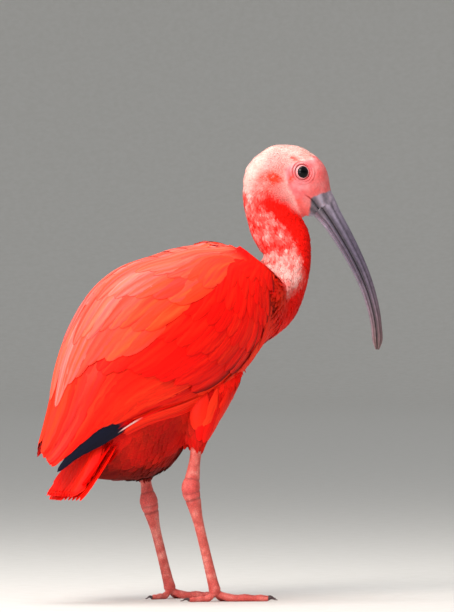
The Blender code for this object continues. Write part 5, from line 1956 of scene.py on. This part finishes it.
# The fold attribute darkens the leg's pressed-in creases: painted shade.
fold = add_node(tree, "ShaderNodeAttribute", attribute_name="fold").outputs["Fac"]
unfolded = add_node(tree, "ShaderNodeMath", {0: fold, 1: -0.4, 2: 1.0},
    operation="MULTIPLY_ADD").outputs[0]
value = add_node(tree, "ShaderNodeMath", {0: value, 1: unfolded}, operation="MULTIPLY").outputs[0]
finish_surface(tree, shader, reddened, value, net, (0.45, 0.0003))

claw_horn, tree, shader = new_material("claw_horn_keratin", Roughness=0.3, IOR=1.54)
# Claw horn is glassier than the bill, dark, with a fine smoky mottle.
place = add_node(tree, "ShaderNodeTexCoord").outputs["Object"]
smoke = add_node(tree, "ShaderNodeTexNoise",
    {"Vector": place, "Scale": 500.0, "Detail": 3.0}).outputs["Fac"]
smoky = add_node(tree, "ShaderNodeValToRGB", {"Fac": smoke}, ((0.3, "#2a1c20"), (0.7, "#5a3e40")))
tree.links.new(smoky.outputs["Color"], shader.inputs["Base Color"])


# %% Legs
def tarsus_plates(run, angle):
    """Broad plates in front of the leg and a knobbly, creased ankle."""
    below = smooth_step(run, ANKLE_RUN + 0.012, ANKLE_RUN + 0.020)
    front = smooth_step(np.cos(angle + math.pi), 0.55, 0.85)
    step = np.abs(np.sin(run / 0.0042 * math.pi))
    plate = 0.00022 * step**0.5 * front * below
    knob = 0.0007 * ridge(run, ANKLE_RUN - 0.004, 0.004) * np.cos(2 * angle) ** 2
    crease = (
        -0.00050 * ridge(run, ANKLE_RUN + 0.0085, 0.0010)
        - 0.00040 * ridge(run, ANKLE_RUN - 0.009, 0.0009)
    )
    crease = crease - 0.00035 * ridge(run + 0.0012 * np.sin(angle), ANKLE_RUN + 0.0015, 0.0008)
    return plate + knob + crease


def leg(name, side, top, ankle, toe_joint):
    """The bare leg from the thigh feathers to the toes; returns the toes' joint."""
    top, ankle, toe_joint = (np.array((p[0], side * p[1], p[2])) for p in (top, ankle, toe_joint))
    top = top + (0, 0, 0.004)
    upper, lower = ankle - top, toe_joint - ankle
    path = [top, top + 0.35 * upper, top + 0.75 * upper, ankle, ankle + 0.10 * lower]
    path += [ankle + 0.22 * lower, ankle + 0.60 * lower, ankle + 0.90 * lower, toe_joint]
    radii = [0.0058, 0.0049, 0.0066, 0.0080, 0.0070, 0.0053, 0.0042, 0.0046, 0.0048]
    joint_run = float(np.linalg.norm(upper))
    start = ANKLE_RUN - joint_run

    def plates(run, angle):
        return tarsus_plates(run + start, angle)

    where, faces = tube(np.array(path), radii, LEG_ROWS, LEG_SIDES, 0.86, plates, LEVEL)
    redness = ridge(np.linalg.norm(where - ankle, axis=1), 0, 0.012) * 0.8
    run = np.linspace(0, joint_run + float(np.linalg.norm(lower)), LEG_ROWS)[:, None]
    folds = plates(run, np.linspace(0, 2 * math.pi, LEG_SIDES, endpoint=False)[None, :])
    # Painted shade in the creases, where the plates dip in.
    dark = np.append(np.clip(-folds / 0.0004, 0, 1).ravel(), (0, 0))
    finished(new_piece(f"leg_{name}", where, faces, leg_skin, {"joint": redness, "fold": dark}),
        "leg_skin", f"shank_{name}")
    return toe_joint


# %% Toes, webs and claws
def toe_path(joint, ahead, length, radius):
    """The toe's curve from its joint down to the floor and along it, with its radii."""
    points_found, radii = [], []
    for t in (0.0, 0.12, 0.26, 0.42, 0.58, 0.74, 0.88, 0.97, 1.0):
        r = radius * (1 - 0.42 * min(t, 0.97)) * (1.12 if t in (0.26, 0.58, 0.88) else 0.96)
        fall = max(1 - t / 0.26, 0.0) ** 1.4
        height = r * 0.90 + 0.0003 + fall * (joint[2] - radius * 0.88 - 0.001)
        points_found.append(np.array((joint[0], joint[1], height)) + ahead * length * t)
        radii.append(r)
    return np.array(points_found), radii


def web(joint, first, second, length):
    """The small fold of skin between two front toes."""
    rows, count = 9, 12
    fan = np.linspace(0, 1, rows)[:, None, None]
    run = np.linspace(0.05, 1, count)[None, :, None]
    heading = unit(first * (1 - fan) + second * fan)
    reach = length * (1 - 0.35 * np.sin(math.pi * fan))
    place = joint * (1, 1, 0) + heading * reach * run
    height = 0.0026 + 0.004 * (1 - run[..., 0]) ** 2 + 0 * fan[..., 0]
    top = np.concatenate((place[..., :2], (height + 0.0006)[..., None]), -1)
    low = top - (0, 0, 0.0012)
    where = np.concatenate((top.reshape(-1, 3), low.reshape(-1, 3)))
    under = rows * count
    grid = np.arange(under).reshape(rows, count)
    faces = [tuple(face) for face in grid_faces(rows, count, closed=False).tolist()]
    faces += [tuple(k + under for k in reversed(face)) for face in faces]
    rim = [int(k) for k in (*grid[0], *grid[1:, -1], *grid[-1, -2::-1], *grid[-2:0:-1, 0])]
    faces += [(a, b, b + under, a + under) for a, b in zip(rim, rim[1:] + rim[:1])]
    return where, turned_out(where, faces)


def foot_and_claws(name, side, joint, heading, ankle):
    """Four toes with webs as one skin, and their claws as one piece."""
    parts, claws, heads = [], [], {}
    along = unit(joint - np.array((ankle[0], side * ankle[1], ankle[2])))
    start = joint - along * 0.009
    parts.append(
        tube(
            np.array((start, joint - along * 0.004, joint, joint + along * 0.0035)),
            [0.0045, 0.0049, 0.0052, 0.0040], 20, 24, 0.95, level=LEVEL,
        )
    )
    for toe, turn, length, radius in TOES:
        angle = math.radians(heading - side * turn)
        ahead = np.array((math.cos(angle), math.sin(angle), 0.0))
        heads[toe] = ahead
        path, radii = toe_path(joint, ahead, length, radius)

        def plates(run, around):
            top = smooth_step(np.cos(around), 0.2, 0.7)
            return (
                0.00022 * np.abs(np.sin(run / 0.0021 * math.pi / 2)) ** 0.6 * top
                * smooth_step(run, 0.004, 0.010)
            )

        parts.append(tube(path, radii, 90, 20, 0.95, plates))
        shares = np.array((0.0, 0.12, 0.28, 0.5, 0.75, 1.0))
        arch = np.sin(math.pi * np.minimum(shares * 1.3, 1.0)) * 0.0010
        claw_radii = np.maximum(radii[-1] * (0.92 - 0.84 * shares), 0.0003)
        rise = np.maximum(path[-1][2] + arch - np.maximum(shares - 0.3, 0) * 0.0010,
            claw_radii + 0.0002)
        claw_path = path[-1] * (1, 1, 0) + ahead * (shares * CLAW_LENGTH)[:, None]
        claw_path[:, 2] = rise
        claws.append(tube(claw_path, claw_radii, 30, 16, 0.8))
    parts.append(web(joint, heads["inner"], heads["middle"], 0.013))
    parts.append(web(joint, heads["middle"], heads["outer"], 0.016))

    for more, _ in parts:
        more[:, 2] = np.maximum(more[:, 2], 0.0)
    made = remeshed(parts, FOOT_VOXEL, f"foot_skin_{name}")
    made.data.shade_smooth()
    made.data.materials.clear()
    made.data.materials.append(leg_skin)
    count = len(made.data.vertices)
    store_all(made.data, {"joint": np.full(count, 0.25), "fold": np.zeros(count)})
    finished(made, "leg_skin", f"foot_{name}")
    names = [f"claw_{toe}_{name}" for toe, *_ in TOES]
    finished(new_piece(f"claws_{name}", *joined(claws), claw_horn), "claw", *names)


for name, (top, ankle, toe_joint, heading) in LEGS.items():
    joint = leg(name, SIDES[name], top, ankle, toe_joint)
    foot_and_claws(name, SIDES[name], joint, heading, ankle)

# %% [markdown]
# ## Floor, light and camera
# A photographer would stand the bird in a cove: a pale floor that sweeps up into the wall with
# no corner. Here the cove goes all the way round, so that every side has the same background.
# Large soft lights stand above and to the left, as the sky does in the photograph.

# %% Cove
FLAT, BEND = 10.5, 3.5
profile = [(0.4, 0.0), (1.5, 0.0), (3.5, 0.0), (6.5, 0.0), (FLAT, 0.0)]
profile += [(FLAT + BEND * math.sin(a), BEND * (1 - math.cos(a)))
    for a in np.linspace(0.1, math.pi / 2, 16)]
profile.append((FLAT + BEND, 5.5))
SIDES_OF_COVE = 96
turns = np.linspace(0, 2 * math.pi, SIDES_OF_COVE, endpoint=False)
rings = [[(r * math.cos(a), r * math.sin(a), z) for a in turns] for r, z in profile]
where = np.vstack((np.array(rings).reshape(-1, 3), [(0, 0, 0)]))
faces = [tuple(reversed(f)) for f in grid_faces(len(rings), SIDES_OF_COVE).tolist()]
faces += [(k, (k + 1) % SIDES_OF_COVE, len(where) - 1) for k in range(SIDES_OF_COVE)]
plaster, tree, shader = new_material("cove_plaster_painted_matt", Roughness=0.9,
    Specular_IOR_Level=0.2)
place = add_node(tree, "ShaderNodeTexCoord").outputs["Object"]
grain = add_node(tree, "ShaderNodeTexNoise",
    {"Vector": place, "Scale": 60.0, "Detail": 5.0}).outputs["Fac"]
pale = add_node(tree, "ShaderNodeValToRGB", {"Fac": grain}, ((0.3, "#d3d1cc"), (0.7, "#d8d6d2")))
tree.links.new(pale.outputs["Color"], shader.inputs["Base Color"])
cove = new_piece("cove", where - SHIFT, faces, plaster)

# %% Lights
AIM = Vector((0.0, 0.0, 0.24))


def soft_light(name, place, width, height, power, colour):
    """A square-edged area light that looks at the bird."""
    data = bpy.data.lights.new(name, "AREA")
    data.shape = "RECTANGLE"
    data.size, data.size_y = width, height
    data.energy = power
    data.color = linear(colour)[:3]
    made = bpy.data.objects.new(name, data)
    made.location = place
    made.rotation_euler = (AIM - made.location).to_track_quat("-Z", "Y").to_euler()
    made.visible_camera = False
    bpy.context.scene.collection.objects.link(made)


HEADING = math.radians(28)
TO_RIGHT = Vector((math.cos(HEADING), -math.sin(HEADING), 0))
TO_BACK = Vector((-math.sin(HEADING), -math.cos(HEADING), 0))
UP = Vector((0, 0, 1))
soft_light("key", TO_BACK * 1.3 - TO_RIGHT * 0.7 + UP * 1.5, 1.0, 1.0, 37, "#fff6ee")
soft_light("top", TO_BACK * 0.1 - TO_RIGHT * 0.3 + UP * 2.0, 1.0, 1.0, 22, "#ffffff")
soft_light("fill", TO_BACK * 1.7 - TO_RIGHT * 0.9 + UP * 0.35, 1.2, 0.8, 14, "#f4f6ff")
world = bpy.data.worlds.new("studio")
world.use_nodes = True
world.node_tree.nodes["Background"].inputs["Color"].default_value = linear("#f4f6f8")
world.node_tree.nodes["Background"].inputs["Strength"].default_value = 0.55
bpy.context.scene.world = world

# %% Camera
DISTANCE = 5.5
IMAGE_WIDTH = 454
SENSOR_WIDTH = 36
MM_PER_PIXEL = 0.87
middle = TO_RIGHT * 0.0191 + UP * 0.2558 + Vector(SHIFT)
data = bpy.data.cameras.new("camera")
data.sensor_fit = "HORIZONTAL"
data.sensor_width = SENSOR_WIDTH
data.lens = SENSOR_WIDTH * DISTANCE / (IMAGE_WIDTH * MM_PER_PIXEL / 1000)
camera = bpy.data.objects.new("camera", data)
camera.location = middle + TO_BACK * DISTANCE
camera.rotation_euler = (-TO_BACK).to_track_quat("-Z", "Y").to_euler()
bpy.context.scene.collection.objects.link(camera)
bpy.context.scene.camera = camera
bpy.context.scene.view_settings.view_transform = "Standard"
print("camera", round(DISTANCE, 2), "m away, lens", round(data.lens, 1), "mm")
